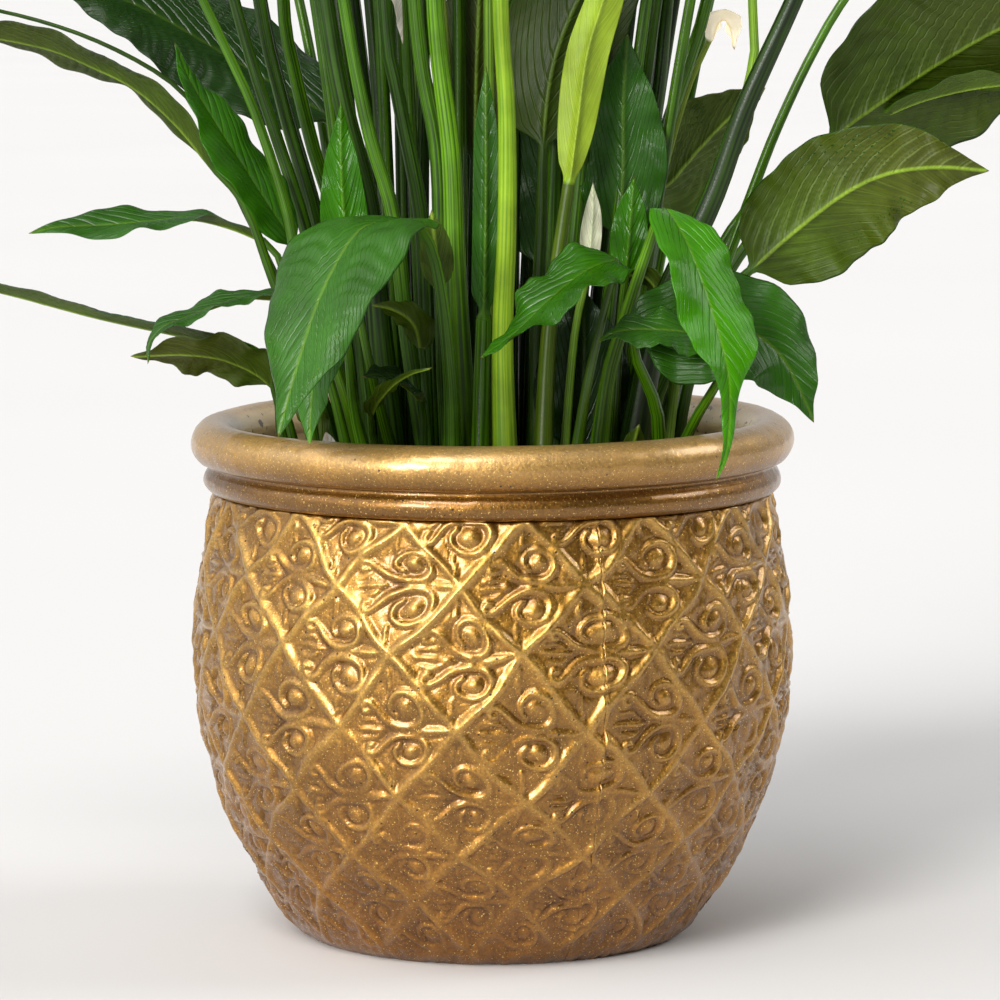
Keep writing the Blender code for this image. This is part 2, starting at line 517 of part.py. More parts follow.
def leaf_solid(leaf):
    """Points and faces of one leaf: rings up the stalk and along the blade, closed at both ends."""
    centre, side, upper, climb, share = leaf_rings(leaf)
    foot_radius, top_radius = leaf["stalk"]
    fold = math.radians(leaf["fold"])
    points = []
    count = len(centre) - 1
    for index in range(count):
        if share[index] == 0:
            radius = foot_radius + (top_radius - foot_radius) * climb[index]
            points += stalk_ring(centre[index], side[index], upper[index], radius)
        else:
            half_width = leaf["width"] / 2 * blade_outline(share[index])
            keel = BLADE_HALF_THICKNESS + top_radius * (1 - share[index])
            points += blade_ring(centre[index], side[index], upper[index], half_width, fold, keel)
    points.append(centre[-1])
    tip = len(points) - 1
    faces = [tuple(range(7, -1, -1))]
    for row in range(count - 1):
        for step in range(8):
            after = (step + 1) % 8
            low = row * 8
            faces.append((low + step, low + after, low + 8 + after, low + 8 + step))
    for step in range(8):
        low = (count - 1) * 8
        faces.append((low + step, low + (step + 1) % 8, tip))
    return points, faces


def spadix_solid(flower):
    """A blunt rod that stands just in front of the spathe, in line with the stalk."""
    centre, side, upper, _, share = leaf_rings(flower)
    first = int(np.argmax(share > 0)) - 1
    ahead = np.cross(side[first], upper[first])
    start = centre[first] + ahead * SPADIX_LIFT + upper[first] * SPADIX_FORWARD
    points = []
    stations = [(0.0, 2.4), (0.12, 4.2), (0.5, 4.6), (0.85, 3.8), (1.0, 1.8)]
    for share_up, radius in stations:
        place = start + ahead * flower["spadix"] * share_up
        points += stalk_ring(place, side[first], upper[first], radius)
    faces = [tuple(range(7, -1, -1))]
    for row in range(len(stations) - 1):
        for step in range(8):
            after = (step + 1) % 8
            low = row * 8
            faces.append((low + step, low + after, low + 8 + after, low + 8 + step))
    low = (len(stations) - 1) * 8
    faces.append(tuple(range(low, low + 8)))
    return points, faces


def build_plant():
    """Every leaf, and every flower with its spadix."""
    for leaf in LEAVES + FLOWERS:
        points, faces = leaf_solid(leaf)
        add_object(leaf["name"], points, faces, leaf["surface"])
    for flower in FLOWERS:
        if flower["spadix"]:
            points, faces = spadix_solid(flower)
            add_object(flower["name"] + "_spadix", points, faces, "spadix")


def main():
    """Build the whole plant in its pot."""
    clear_scene()
    build_pot()
    build_compost()
    build_crown()
    build_plant()


main()
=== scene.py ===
# %% [markdown]
# # A peace lily in a gold-painted clay pot
# This lesson builds the look of a potted peace lily around a finished CAD model. The CAD model
# fixes where every stalk, leaf and wall is. Here each of them becomes a finer surface with a
# finish of its own. A surface is a formula of two parameters, worked out for a whole grid at
# once with numpy, and then put into a Blender mesh.

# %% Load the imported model
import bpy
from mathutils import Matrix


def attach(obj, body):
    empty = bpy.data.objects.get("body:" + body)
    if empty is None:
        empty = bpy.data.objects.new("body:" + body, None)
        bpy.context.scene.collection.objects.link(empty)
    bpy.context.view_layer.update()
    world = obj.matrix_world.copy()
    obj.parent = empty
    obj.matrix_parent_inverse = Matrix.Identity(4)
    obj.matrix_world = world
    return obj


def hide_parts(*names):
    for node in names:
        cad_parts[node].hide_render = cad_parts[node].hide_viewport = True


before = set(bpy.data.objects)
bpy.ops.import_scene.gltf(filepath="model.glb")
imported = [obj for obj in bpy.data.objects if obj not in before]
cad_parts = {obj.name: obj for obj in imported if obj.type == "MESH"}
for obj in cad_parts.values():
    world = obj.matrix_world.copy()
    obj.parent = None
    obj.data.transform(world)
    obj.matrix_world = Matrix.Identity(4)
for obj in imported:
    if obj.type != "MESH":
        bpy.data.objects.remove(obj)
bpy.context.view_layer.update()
print("CAD nodes:", len(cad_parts))

# %% Modules and units
import math

import bpy
import numpy as np

MM = 0.001
TURN = 2 * math.pi
view = bpy.context.scene.view_settings
view.view_transform = "Standard"

# %% [markdown]
# ## Colours and nodes
# Colours are written as sRGB hex values, because that is how a colour picker shows them. A
# shader wants linear light, so one function turns them. A second function adds any node and
# fills or links its inputs, which keeps each material short enough to read as a recipe.

# %% Functions for colours and nodes
def linear(hex_colour):
    """Linear RGBA of an sRGB hex colour: a straight toe, then the 2.4 power curve."""
    channels = np.array([int(hex_colour[start:start + 2], 16) / 255 for start in (1, 3, 5)])
    curved = ((channels + 0.055) / 1.055) ** 2.4
    return (*np.where(channels <= 0.04045, channels / 12.92, curved).tolist(), 1.0)


def add_node(tree, kind, inputs=None):
    """Add a node. Each property or input gets a value, a hex colour, or a socket to link."""
    made = tree.nodes.new(kind)
    for key, value in (inputs or {}).items():
        if key == "stops":
            ramp = made.color_ramp
            while len(ramp.elements) < len(value):
                ramp.elements.new(0.5)
            for element, (place, colour) in zip(ramp.elements, value):
                element.position = place
                element.color = linear(colour)
        elif isinstance(value, bpy.types.NodeSocket):
            tree.links.new(value, made.inputs[key])
        elif isinstance(key, str) and hasattr(made, key):
            setattr(made, key, value)
        else:
            made.inputs[key].default_value = linear(value) if isinstance(value, str) else value
    return made


def new_material(name):
    """An empty material's tree, and its surface socket."""
    material = bpy.data.materials.new(name)
    material.use_nodes = True
    tree = material.node_tree
    tree.nodes.clear()
    output = tree.nodes.new("ShaderNodeOutputMaterial")
    return material, tree, output.inputs["Surface"]


MIX_FACTOR, MIX_A, MIX_B, MIX_RESULT = 0, 6, 7, 2
print("white in linear light:", linear("#FFFFFF"))

# %% [markdown]
# ## From a grid of points to a mesh
# Nearly every piece here is a tube: rings of points, one after another, joined by quads. A pot
# wall is a tube, and so is a leaf, if its cross-section is pressed flat. Closing the first and
# the last ring makes it a solid.

# %% Meshes from whole arrays
def ring_quads(rings, around):
    """Quads that join point k and k + 1 of each ring to the same two points of the next ring."""
    place = np.arange(around)
    after = (place + 1) % around
    base = np.arange(rings - 1)[:, None] * around
    corners = [base + place, base + after, base + around + after, base + around + place]
    return np.stack(corners, axis=-1).reshape(-1, 4)


def tube_faces(rings, around):
    """Quads round a tube, then triangles that close each end ring to one more point."""
    first, last = np.arange(around), (rings - 1) * around + np.arange(around)
    first_end, last_end = rings * around, rings * around + 1
    return [ring_quads(rings, around),
            np.stack([np.roll(first, -1), first, np.full(around, first_end)], axis=1),
            np.stack([last, np.roll(last, -1), np.full(around, last_end)], axis=1)]


def add_piece(name, points, faces, material, nodes, fields=None, uv=None):
    """A mesh piece from points in mm and arrays of faces. Fields are named values per point."""
    mesh = bpy.data.meshes.new(name)
    corners = np.concatenate([np.asarray(part).ravel() for part in faces])
    sizes = np.concatenate([np.full(len(part), np.shape(part)[1]) for part in faces])
    mesh.vertices.add(len(points))
    mesh.vertices.foreach_set("co", (np.asarray(points) * MM).astype(np.float32).ravel())
    mesh.loops.add(len(corners))
    mesh.loops.foreach_set("vertex_index", corners.astype(np.int32))
    mesh.polygons.add(len(sizes))
    starts = np.concatenate([[0], np.cumsum(sizes)[:-1]]).astype(np.int32)
    mesh.polygons.foreach_set("loop_start", starts)
    mesh.update(calc_edges=True)
    for field, values in (fields or {}).items():
        layer = mesh.attributes.new(field, "FLOAT", "POINT")
        layer.data.foreach_set("value", np.asarray(values, np.float32).ravel())
    if uv is not None:
        layer = mesh.uv_layers.new(name="UVMap")
        layer.data.foreach_set("uv", np.asarray(uv)[corners].astype(np.float32).ravel())
    mesh.shade_smooth()
    mesh.materials.append(material)
    piece = bpy.data.objects.new(name, mesh)
    bpy.context.scene.collection.objects.link(piece)
    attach(piece, "root")
    if nodes:
        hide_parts(*nodes)
    return piece


def smoothstep(low, high, values):
    """0 below low, 1 above high, and an S-curve between."""
    share = np.clip((values - low) / (high - low), 0, 1)
    return share * share * (3 - 2 * share)


def smooth_route(points, per_span=10):
    """A Catmull-Rom curve through the points, with per_span steps between each two."""
    points = np.array(points, float)
    ends = np.vstack([2 * points[0] - points[1], points, 2 * points[-1] - points[-2]])
    share = np.linspace(0, 1, per_span, endpoint=False)[:, None]
    curve = []
    for index in range(len(points) - 1):
        before, start, end, after = ends[index:index + 4]
        curve.append(0.5 * (2 * start + (end - before) * share
                            + (2 * before - 5 * start + 4 * end - after) * share ** 2
                            + (3 * start - before - 3 * end + after) * share ** 3))
    return np.vstack(curve + [points[-1:]])


# %% [markdown]
# ## Gold paint on fired clay
# The pot is earthenware from a two-part mould, painted with bronze paint: metal flakes in a
# clear lacquer. The flakes lie roughly flat, so the paint reflects like rough metal. Its colour
# is painted lighter on the crests and darker in the hollows and towards the foot, as painted
# highlight and painted shade. Sand in the clay shows through as a grain of about a millimetre,
# with small pits, and the flakes' glints are painted as single bright specks.
# Inside the rim, pale soil and darker crumbs of compost hide the metal.

# %% The paint's recipe
GRAIN_MM = 1.3
CLOUD_MM = 28.0
SAND_MM = 4.0
PIT_MM = 6.0
FLAKE_GLINT_MM = 0.9
CRUMB_MM = 5.0


def gold_paint():
    """Rough metal with grain, pits and painted flake glints. Its colour is painted lighter on the
    crests and darker in the hollows and towards the foot, as painted highlight and painted shade.
    """
    material, tree, surface = new_material("bronze_flake_paint_on_clay")
    place = add_node(tree, "ShaderNodeTexCoord").outputs["Object"]
    height = add_node(tree, "ShaderNodeSeparateXYZ", {"Vector": place}).outputs["Z"]
    relief, soil = (add_node(tree, "ShaderNodeAttribute", {"attribute_name": field}).outputs["Fac"]
                    for field in ("relief", "soil"))
    cloud, grain, flakes, crumb, sand = (
        add_node(tree, "ShaderNodeTexNoise",
                 {"Scale": 1000 / size, "Detail": detail, "Roughness": roughness,
                  "Vector": place}).outputs["Fac"]
        for size, detail, roughness in ((CLOUD_MM, 4.0, 0.5), (GRAIN_MM, 3.0, 0.6),
                                        (FLAKE_GLINT_MM, 1.0, 0.5), (CRUMB_MM, 2.0, 0.5),
                                        (SAND_MM, 2.0, 0.5)))
    pits = add_node(tree, "ShaderNodeTexVoronoi", {"Scale": 1000 / PIT_MM, "Vector": place})
    # Each row turns a range of one value into a range of another.
    shade, speck, rise, painted_flake_glint, pit, crumbs, metal, rough = (
        add_node(tree, "ShaderNodeMapRange",
                 {"From Min": low, "From Max": high, "To Min": start, "To Max": end,
                  "Value": source}).outputs["Result"]
        for source, low, high, start, end in (
            (cloud, 0.3, 0.7, 0.82, 1.12), (grain, 0.35, 0.62, 0.72, 1.14),
            (height, 0.02, 0.165, 0.0, 1.0), (flakes, 0.67, 0.73, 0.0, 1.0),
            (pits.outputs["Distance"], 0.05, 0.11, 1.0, 0.0), (crumb, 0.62, 0.68, 0.0, 1.0),
            (soil, 0.0, 0.6, 0.93, 0.0), (grain, 0.3, 0.7, 0.34, 0.48)))
    depth, crumb_share = (
        add_node(tree, "ShaderNodeMath", {"operation": "MULTIPLY", 0: first, 1: second}).outputs[0]
        for first, second in ((shade, speck), (crumbs, soil)))
    # Painted shade: the paint's colour darkens towards the foot, from 165 mm high down to 20 mm.
    painted_foot_shade = add_node(tree, "ShaderNodeMix", {"data_type": "RGBA", MIX_FACTOR: rise,
                                               MIX_A: "#DDCAAA", MIX_B: "#FFFFFF"})
    # Painted shade and highlight: the colour runs from dark in the relief's hollows to light on its
    # crests.
    colour = add_node(tree, "ShaderNodeValToRGB",
                      {"stops": [(0.0, "#7A521A"), (0.3, "#946822"), (0.62, "#AA7C2E"),
                                 (1.0, "#C29644")], "Fac": relief}).outputs["Color"]
    # Painted glints: bright specks of flake colour are mixed into the paint where the flake noise
    # peaks.
    for blend, share, layer in (("MULTIPLY", 1.0, depth),
                                ("MULTIPLY", 1.0, painted_foot_shade.outputs[MIX_RESULT]),
                                ("MIX", painted_flake_glint, "#F0C970"), ("MIX", pit, "#3A2611"),
                                ("MIX", soil, "#F0D29C"), ("MIX", crumb_share, "#4A3520")):
        colour = add_node(tree, "ShaderNodeMix",
                          {"data_type": "RGBA", "blend_type": blend, MIX_FACTOR: share,
                           MIX_A: colour, MIX_B: layer}).outputs[MIX_RESULT]
    pit_bump = add_node(tree, "ShaderNodeBump", {"Strength": 0.8, "Distance": 0.4 * MM,
                                                 "invert": True, "Height": pit})
    sand_bump = add_node(tree, "ShaderNodeBump", {"Strength": 0.5, "Distance": 0.5 * MM,
                                                  "Height": sand, "Normal": pit_bump.outputs[0]})
    bump = add_node(tree, "ShaderNodeBump", {"Strength": 0.5, "Distance": 0.35 * MM,
                                             "Height": grain, "Normal": sand_bump.outputs[0]})
    shader = add_node(tree, "ShaderNodeBsdfPrincipled",
                      {"Coat Weight": 0.75, "Coat Roughness": 0.2, "Coat IOR": 1.55,
                       "Base Color": colour, "Metallic": metal, "Roughness": rough,
                       "Normal": bump.outputs[0]})
    tree.links.new(shader.outputs[0], surface)
    return material


GOLD = gold_paint()
print("gold paint nodes:", len(GOLD.node_tree.nodes))

# %% [markdown]
# ## The pot's relief
# Lozenges cover the belly. Each has a raised edge, and inside it the same pressed motif: two
# scrolls, mirrored across the lozenge's level diagonal, that grow from one stem at its right
# corner. The potter's mould was pressed with one stamp, so the stamp is worked out once, as a
# height for each place in a lozenge, and then read for every point of the wall. Wear and hand
# work come from slow waves that bend the pattern and thin it in places.

# %% The stamp of one lozenge
LOZENGE_HALF_WIDTH = 30.0
LOZENGE_HALF_HEIGHT = 33.0
STAMP_CELLS = 300
SCROLL = [(-13.7, 7.9), (-16.0, 7.6), (-16.5, 10.3), (-13.5, 12.0), (-9.5, 9.2), (-5.3, 5.2),
          (0.0, 2.6), (5.8, 1.9), (11.4, 3.4), (14.2, 7.9), (12.6, 13.5), (7.9, 16.9), (2.2, 16.6),
          (-1.6, 13.4), (-1.9, 9.4), (0.6, 6.9)]
SCROLL_EYE = (5.8, 10.6)
BUTTON_HEIGHT, BUTTON_RADIUS = 1.5, 4.6
# A fine cut runs beside each ridge, this many half-widths out from its middle.
CUT_PLACE, CUT_WIDTH = 1.35, 0.3
STROKE_CUT_DEPTH, EDGE_CUT_DEPTH = 0.5, 0.25


def stroke(across, up, path, half_width, height):
    """A rounded ridge along a path, with a fine cut line on each side of it."""
    path = smooth_route(path, 8)
    widths = np.interp(np.linspace(0, 1, len(path)), np.linspace(0, 1, len(half_width)), half_width)
    nearest = np.full(across.shape, 9.0)
    for (x, y), width in zip(path, widths):
        nearest = np.minimum(nearest, np.hypot(across - x, up - y) / width)
    ridge = height * np.clip(1 - nearest ** 2, 0, 1)
    cut = -STROKE_CUT_DEPTH * np.exp(-((nearest - CUT_PLACE) / CUT_WIDTH) ** 2)
    return ridge, cut


def make_stamp():
    """Height in mm of the pressed motif at each place of a lozenge, mirrored top to bottom."""
    line = np.linspace(-1, 1, STAMP_CELLS)
    across, up = np.meshgrid(line * LOZENGE_HALF_WIDTH, np.abs(line) * LOZENGE_HALF_HEIGHT)
    strokes = [stroke(across, up, SCROLL, [1.5, 1.5, 1.8, 2.4, 2.2, 1.8, 1.5, 1.3], 1.7),
               stroke(across, up, [(8, 0), (15, 0), (21, 0), (28, 0)], [1.3, 2.6, 2.0, 0.8], 1.6),
               stroke(across, up, [(-7, 0), (-12, 0), (-17, 0), (-21, 0)], [0.9, 1.6, 1.3, 0.6],
                      1.3),
               stroke(across, up, [(-9, 2), (-13, 4.4), (-18, 4.0)], [0.7, 1.1, 0.6], 1.1),
               stroke(across, up, [(-2.2, 17.5), (-2.6, 21.5), (-1.8, 26)], [0.7, 0.8, 1.2], 1.2)]
    ridge = np.max([part[0] for part in strokes], axis=0)
    cut = np.min([part[1] for part in strokes], axis=0)
    from_eye = np.hypot(across - SCROLL_EYE[0], up - SCROLL_EYE[1])
    button = BUTTON_HEIGHT * np.clip(1 - (from_eye / BUTTON_RADIUS) ** 2, 0, 1)
    return np.where(ridge > 0.05, ridge, cut) + button


STAMP = make_stamp()
print("stamp height in mm, lowest and highest:", STAMP.min().round(2), STAMP.max().round(2))

# %% The lozenge lattice on the wall
ROW_HEIGHTS = (255.0, 223.0, 191.0, 159.0, 122.0, 89.0, 60.0, 36.0, 8.0, -20.0)
LOZENGES_ROUND = 15
FIRST_COLUMN = math.radians(-18)
SEAM = math.radians(21)
SEAM_SLIP = math.radians(1.4)
SEAM_DROP = 1.2
SEAM_RIDGE_HEIGHT, SEAM_RIDGE_WIDTH = 0.9, 1.6
BELLY_RADIUS, SEAM_RADIUS = 145.0, 146.0
EDGE_HEIGHT = 1.3
EDGE_HALF_WIDTH = 2.7
DISH_DEPTH = 1.5


def waves(turn, height, seed, count, coarsest, finest):
    """Smooth noise round a pot: sines of mixed wavelengths (mm) that close round the axis."""
    rng = np.random.default_rng(seed)
    total = np.zeros(np.broadcast(turn, height).shape)
    for _ in range(count):
        wavelength = coarsest * (finest / coarsest) ** rng.random()
        direction = rng.random() * TURN
        around = round(TURN * BELLY_RADIUS / wavelength * math.cos(direction))
        upward = TURN / wavelength * math.sin(direction)
        total += np.sin(around * turn + upward * height + rng.random() * TURN)
    return total / math.sqrt(count)


def relief_height(turn, height):
    """Relief in mm at a turn from the front and a height: raised lozenge edges and the stamp."""
    back_half = (turn > SEAM) & (turn < SEAM + math.pi)
    slipped = turn - FIRST_COLUMN - np.where(back_half, SEAM_SLIP, 0)
    wobble = waves(turn, height, 3, 10, 120, 35)
    column = slipped * LOZENGES_ROUND / TURN + 0.03 * wobble
    row = np.interp(-height + np.where(back_half, SEAM_DROP, 0), [-step for step in ROW_HEIGHTS],
                    np.arange(len(ROW_HEIGHTS)) - 1) + 0.04 * waves(turn, height, 4, 10, 120, 35)
    first, second = column + row / 2, column - row / 2
    spacing = 2 * LOZENGE_HALF_WIDTH * LOZENGE_HALF_HEIGHT / math.hypot(LOZENGE_HALF_WIDTH,
                                                                       LOZENGE_HALF_HEIGHT)
    to_first = np.abs(first - np.round(first)) * spacing
    to_second = np.abs(second - np.round(second)) * spacing
    nearest = np.minimum(to_first, to_second) / EDGE_HALF_WIDTH
    uneven = np.clip(1 + 0.4 * waves(turn, height, 8, 14, 60, 18), 0.3, 1.5)
    edge = EDGE_HEIGHT * np.clip(1 - nearest ** 2, 0, 1) * uneven
    edge -= EDGE_CUT_DEPTH * np.exp(-((nearest - CUT_PLACE) / CUT_WIDTH) ** 2)
    across = first + second - np.floor(first) - np.floor(second) - 1
    upward = -(first - second - np.floor(first) + np.floor(second))
    cell_x = np.clip((across + 1) / 2 * (STAMP_CELLS - 1), 0, STAMP_CELLS - 1.001)
    cell_y = np.clip((upward + 1) / 2 * (STAMP_CELLS - 1), 0, STAMP_CELLS - 1.001)
    left, low = cell_x.astype(int), cell_y.astype(int)
    right_share, high_share = cell_x - left, cell_y - low
    stamped = ((STAMP[low, left] * (1 - right_share) + STAMP[low, left + 1] * right_share)
               * (1 - high_share)
               + (STAMP[low + 1, left] * (1 - right_share)
                  + STAMP[low + 1, left + 1] * right_share) * high_share)
    inward = np.clip(1 - np.abs(across) - np.abs(upward), 0, 1)
    dish = DISH_DEPTH * (0.4 - inward * (2 - inward))
    rubbed = np.clip(1.0 + 0.35 * waves(turn, height, 5, 14, 80, 22), 0.35, 1.3)
    wear = (0.7 + 0.3 * smoothstep(30, 150, height)) * rubbed
    foot = smoothstep(0, 16, height)
    seam_ridge = sum(SEAM_RIDGE_HEIGHT
                     * np.exp(-((np.abs(turn - seam) * SEAM_RADIUS) / SEAM_RIDGE_WIDTH) ** 2)
                     for seam in (SEAM, SEAM + math.pi, SEAM - math.pi))
    return (np.where(edge > 0.02, np.maximum(edge, stamped), edge + stamped) * wear * foot
            + dish * foot + 0.24 * waves(turn, height, 6, 18, 26, 7) + seam_ridge * foot)


# %% [markdown]
# ## The wall, the rim and the inside
# The wall is the CAD's own profile carried round the axis and pushed out along its normal by
# the relief. It is built as two half shells that meet at the mould's seam, so that each stays a
# handy size. The rim, the bead and the inside are thrown plain, and come as one turned solid.

# %% The profile from the foot to the neck
BELLY = [(95.0, 0.0), (101.0, 4.5), (107.5, 14.0), (114.7, 25.0), (123.3, 40.5), (130.8, 56.0),
         (136.3, 71.0), (144.8, 101.5), (148.2, 130.0), (148.4, 145.0), (146.0, 177.5),
         (141.5, 203.0), (139.0, 217.5), (138.6, 221.4)]
WALL_STEP = 1.15
HALF_COLUMNS = 405
SHELL_THICKNESS = 5.0


def resample(line, step):
    """Points every step along a smooth (radius, height) line, with their outward normals."""
    curve = smooth_route(line, 12)
    length = np.concatenate([[0], np.cumsum(np.hypot(*np.diff(curve, axis=0).T))])
    stops = np.linspace(0, length[-1], int(length[-1] / step) + 1)
    dense = np.stack([np.interp(stops, length, curve[:, axis]) for axis in (0, 1)], axis=1)
    ahead = np.gradient(dense, axis=0)
    ahead /= np.hypot(*ahead.T)[:, None]
    return dense, np.stack([ahead[:, 1], -ahead[:, 0]], axis=1)


def spun(radius, height, turn):
    """A (radius, height) point turned about the axis, where turn 0 faces the front."""
    return np.stack([radius * np.sin(turn), -radius * np.cos(turn), height], axis=-1)


def half_shell(name, start):
    """Half of the relief wall: a grid outside, a few rows inside, and flat faces at the seams."""
    outside, normal = resample(BELLY, WALL_STEP)
    turn = np.linspace(start, start + math.pi, HALF_COLUMNS)[None, :]
    height = outside[:, 1:2]
    push = relief_height(turn, height)
    front = spun(outside[:, :1] + push * normal[:, :1], height + push * normal[:, 1:], turn)
    inner_rows = np.linspace(len(outside) - 1, 0, 10).astype(int)
    inner = spun(outside[inner_rows, :1] - SHELL_THICKNESS, height[inner_rows] + 0 * turn, turn)
    points = np.concatenate([front, inner])
    rows = len(points)
    grid = np.arange(rows * HALF_COLUMNS).reshape(rows, HALF_COLUMNS)
    closed = np.vstack([grid, grid[:1]])
    quads = np.stack([closed[:-1, :-1], closed[:-1, 1:], closed[1:, 1:], closed[1:, :-1]],
                     axis=-1).reshape(-1, 4)
    caps = [grid[:, 0][None, :], grid[::-1, -1][None, :]]
    tall = np.concatenate([push, np.zeros((len(inner_rows), HALF_COLUMNS))])
    # The relief field also drives the painted shade in the hollows and the painted highlight on the
    # crests.
    fields = {"relief": np.clip((tall + 1.6) / 3.4, 0, 1), "soil": np.zeros(tall.shape)}
    return add_piece(name, points.reshape(-1, 3), [quads, *caps], GOLD, ["pot"],
                     fields)


for shell_name, shell_start in (("pot_wall_front", SEAM - math.pi), ("pot_wall_back", SEAM)):
    made = half_shell(shell_name, shell_start)
    print(made.name, len(made.data.vertices), "points")

# %% The rim, the bead and the inside
RIM_COLUMNS = 540
ROLL_RADIUS, ROLL_CENTRE = 11.5, (138.5, 245.5)
BEAD_RADIUS, BEAD_CENTRE = 6.2, (137.7, 228.0)
WALL, FLOOR, SHELL_GAP = 13.0, 14.0, 0.4
INSIDE_HEIGHTS = (226.0, 210.0, 178.0, 145.0, 105.0, 71.0, 42.0, 24.0)


def arc(centre, radius, start, end, steps):
    """Points on a circular arc in the (radius, height) plane, from one angle to another."""
    angle = np.radians(np.linspace(start, end, steps))
    return [(centre[0] + radius * out, centre[1] + radius * up)
            for out, up in zip(np.cos(angle), np.sin(angle))]


def wall_radius(height):
    """Outer radius of the belly at a height."""
    return float(np.interp(height, [point[1] for point in BELLY], [point[0] for point in BELLY]))


def rim_and_inside():
    """The plain turned part of the pot, from the middle of its base round the rim to the floor."""
    core = [(wall_radius(height) - SHELL_THICKNESS - SHELL_GAP, height)
            for height in (30, 60, 100, 140, 180, 215)]
    outside = [(0.0, 0.3), (60.0, 0.3), (89.0, 0.0), (95.0, 8.0), *core, (133.4, 221.8),
               (137.0, 221.9)]
    bead = arc(BEAD_CENTRE, BEAD_RADIUS, -88, 52, 22)
    cove = [(141.2, 233.6), (140.5, 234.6), (141.0, 235.4), (142.6, 235.9), (143.6, 235.8),
            (144.6, 236.2)]
    roll = arc(ROLL_CENTRE, ROLL_RADIUS, -52, 208, 64)
    inside = [(wall_radius(height) - WALL, height) for height in INSIDE_HEIGHTS]
    profile = np.array(outside + bead + cove + roll + inside + [(72.0, FLOOR), (0.0, FLOOR)])
    turn = np.linspace(0, TURN, RIM_COLUMNS, endpoint=False)[None, :]
    radius, height = profile[1:-1, :1], profile[1:-1, 1:]
    out_of_true = (0.35 * waves(turn, height, 11, 12, 160, 40)
                   + 0.1 * waves(turn, height, 12, 16, 30, 8))
    shown = smoothstep(120, 134, radius) * smoothstep(221, 226, height)
    tilt = (0.9 * np.sin(turn) - 1.0 * np.cos(turn) + 1.6) * smoothstep(228, 240, height) * shown
    lifted = height + 0.3 * out_of_true * shown + tilt
    points = spun(radius + out_of_true * shown, lifted, turn).reshape(-1, 3)
    rings = len(radius)
    points = np.vstack([points, [(0, 0, profile[0, 1]), (0, 0, profile[-1, 1])]])
    inward = smoothstep(0, 1, (np.arange(rings) - rings + len(inside) + 28) / 12.0)
    rubbed = 0.2 * smoothstep(238, 252, height[:, 0])
    # Painted highlight and shade: the roll's top gets the light end of the relief colour, the bead
    # and cove below it the dark end.
    painted_rim_shading = np.repeat(0.12 + 0.58 * smoothstep(232, 250, height[:, 0]), RIM_COLUMNS)
    fields = {"relief": np.append(painted_rim_shading, [0.2, 0.2]),
              "soil": np.append(np.repeat(np.maximum(inward, rubbed), RIM_COLUMNS), [0.0, 1.0])}
    return add_piece("pot_rim_and_inside", points, tube_faces(rings, RIM_COLUMNS), GOLD, ["pot"],
                     fields)


rim = rim_and_inside()
print("rim and inside:", len(rim.data.vertices), "points")

# %% [markdown]
# ## Compost and root stock
# The pot is filled with dark peat compost, in crumbs of a few millimetres. The root stock is a
# low woody dome with knobs where old stalks stood. Both are closed tubes whose tops are pushed
# up and down by noise, and their finish is dull all over, with painted shade in the gaps
# between the crumbs.

# %% A dull, crumbly finish
def crumbly(name, dark, light, crumb_mm):
    """Dull organic matter: crumbs whose gaps are painted dark as painted shade, with a bump of the
    same size.
    """
    material, tree, surface = new_material(name)
    place = add_node(tree, "ShaderNodeTexCoord").outputs["Object"]
    crumbs = add_node(tree, "ShaderNodeTexVoronoi", {"Scale": 1000 / crumb_mm, "Vector": place})
    fibre = add_node(tree, "ShaderNodeTexNoise", {"Scale": 2400 / crumb_mm, "Detail": 4.0,
                                                  "Vector": place})
    # Painted shade: the colour darkens from each crumb's middle out to the gaps, where the bump
    # sinks.
    tone = add_node(tree, "ShaderNodeMath",
                    {"operation": "MULTIPLY", 0: crumbs.outputs["Distance"],
                     1: fibre.outputs["Fac"]}).outputs[0]
    colour = add_node(tree, "ShaderNodeValToRGB", {"stops": [(0.05, light), (0.4, dark)],
                                                   "Fac": tone})
    bump = add_node(tree, "ShaderNodeBump", {"Strength": 0.9, "Distance": 0.8 * MM,
                                             "invert": True, "Height": tone})
    shader = add_node(tree, "ShaderNodeBsdfPrincipled",
                      {"Roughness": 0.95, "Base Color": colour.outputs["Color"],
                       "Normal": bump.outputs[0]})
    tree.links.new(shader.outputs[0], surface)
    return material


COMPOST = crumbly("peat_compost", "#1B130C", "#4A3826", 3.0)
ROOT_STOCK = crumbly("woody_root_stock", "#3B2D17", "#7C6A3C", 2.2)

# %% The compost and the crown of root stock
COMPOST_TOP, LUMP_DROP, GAP = 221.0, 1.6, 0.6
CROWN_HALF_X, CROWN_HALF_Y, CROWN_EDGE, CROWN_RISE, KNOB_DROP = 106.0, 90.0, 2.0, 9.0, 1.2
INSIDE_RADII = [(70.6, 14.6), (94.5, 25.0), (109.5, 42.0), (121.6, 71.0), (130.8, 105.0),
                (134.2, 145.0), (131.7, 178.0), (125.0, 213.0)]


def crown_height(x, y):
    """Height of the crown's domed top above the pot's base, at a place on it."""
    outward = (x / CROWN_HALF_X) ** 2 + (y / CROWN_HALF_Y) ** 2
    return COMPOST_TOP + GAP + CROWN_EDGE + CROWN_RISE * np.clip(1.0 - outward, 0, None)


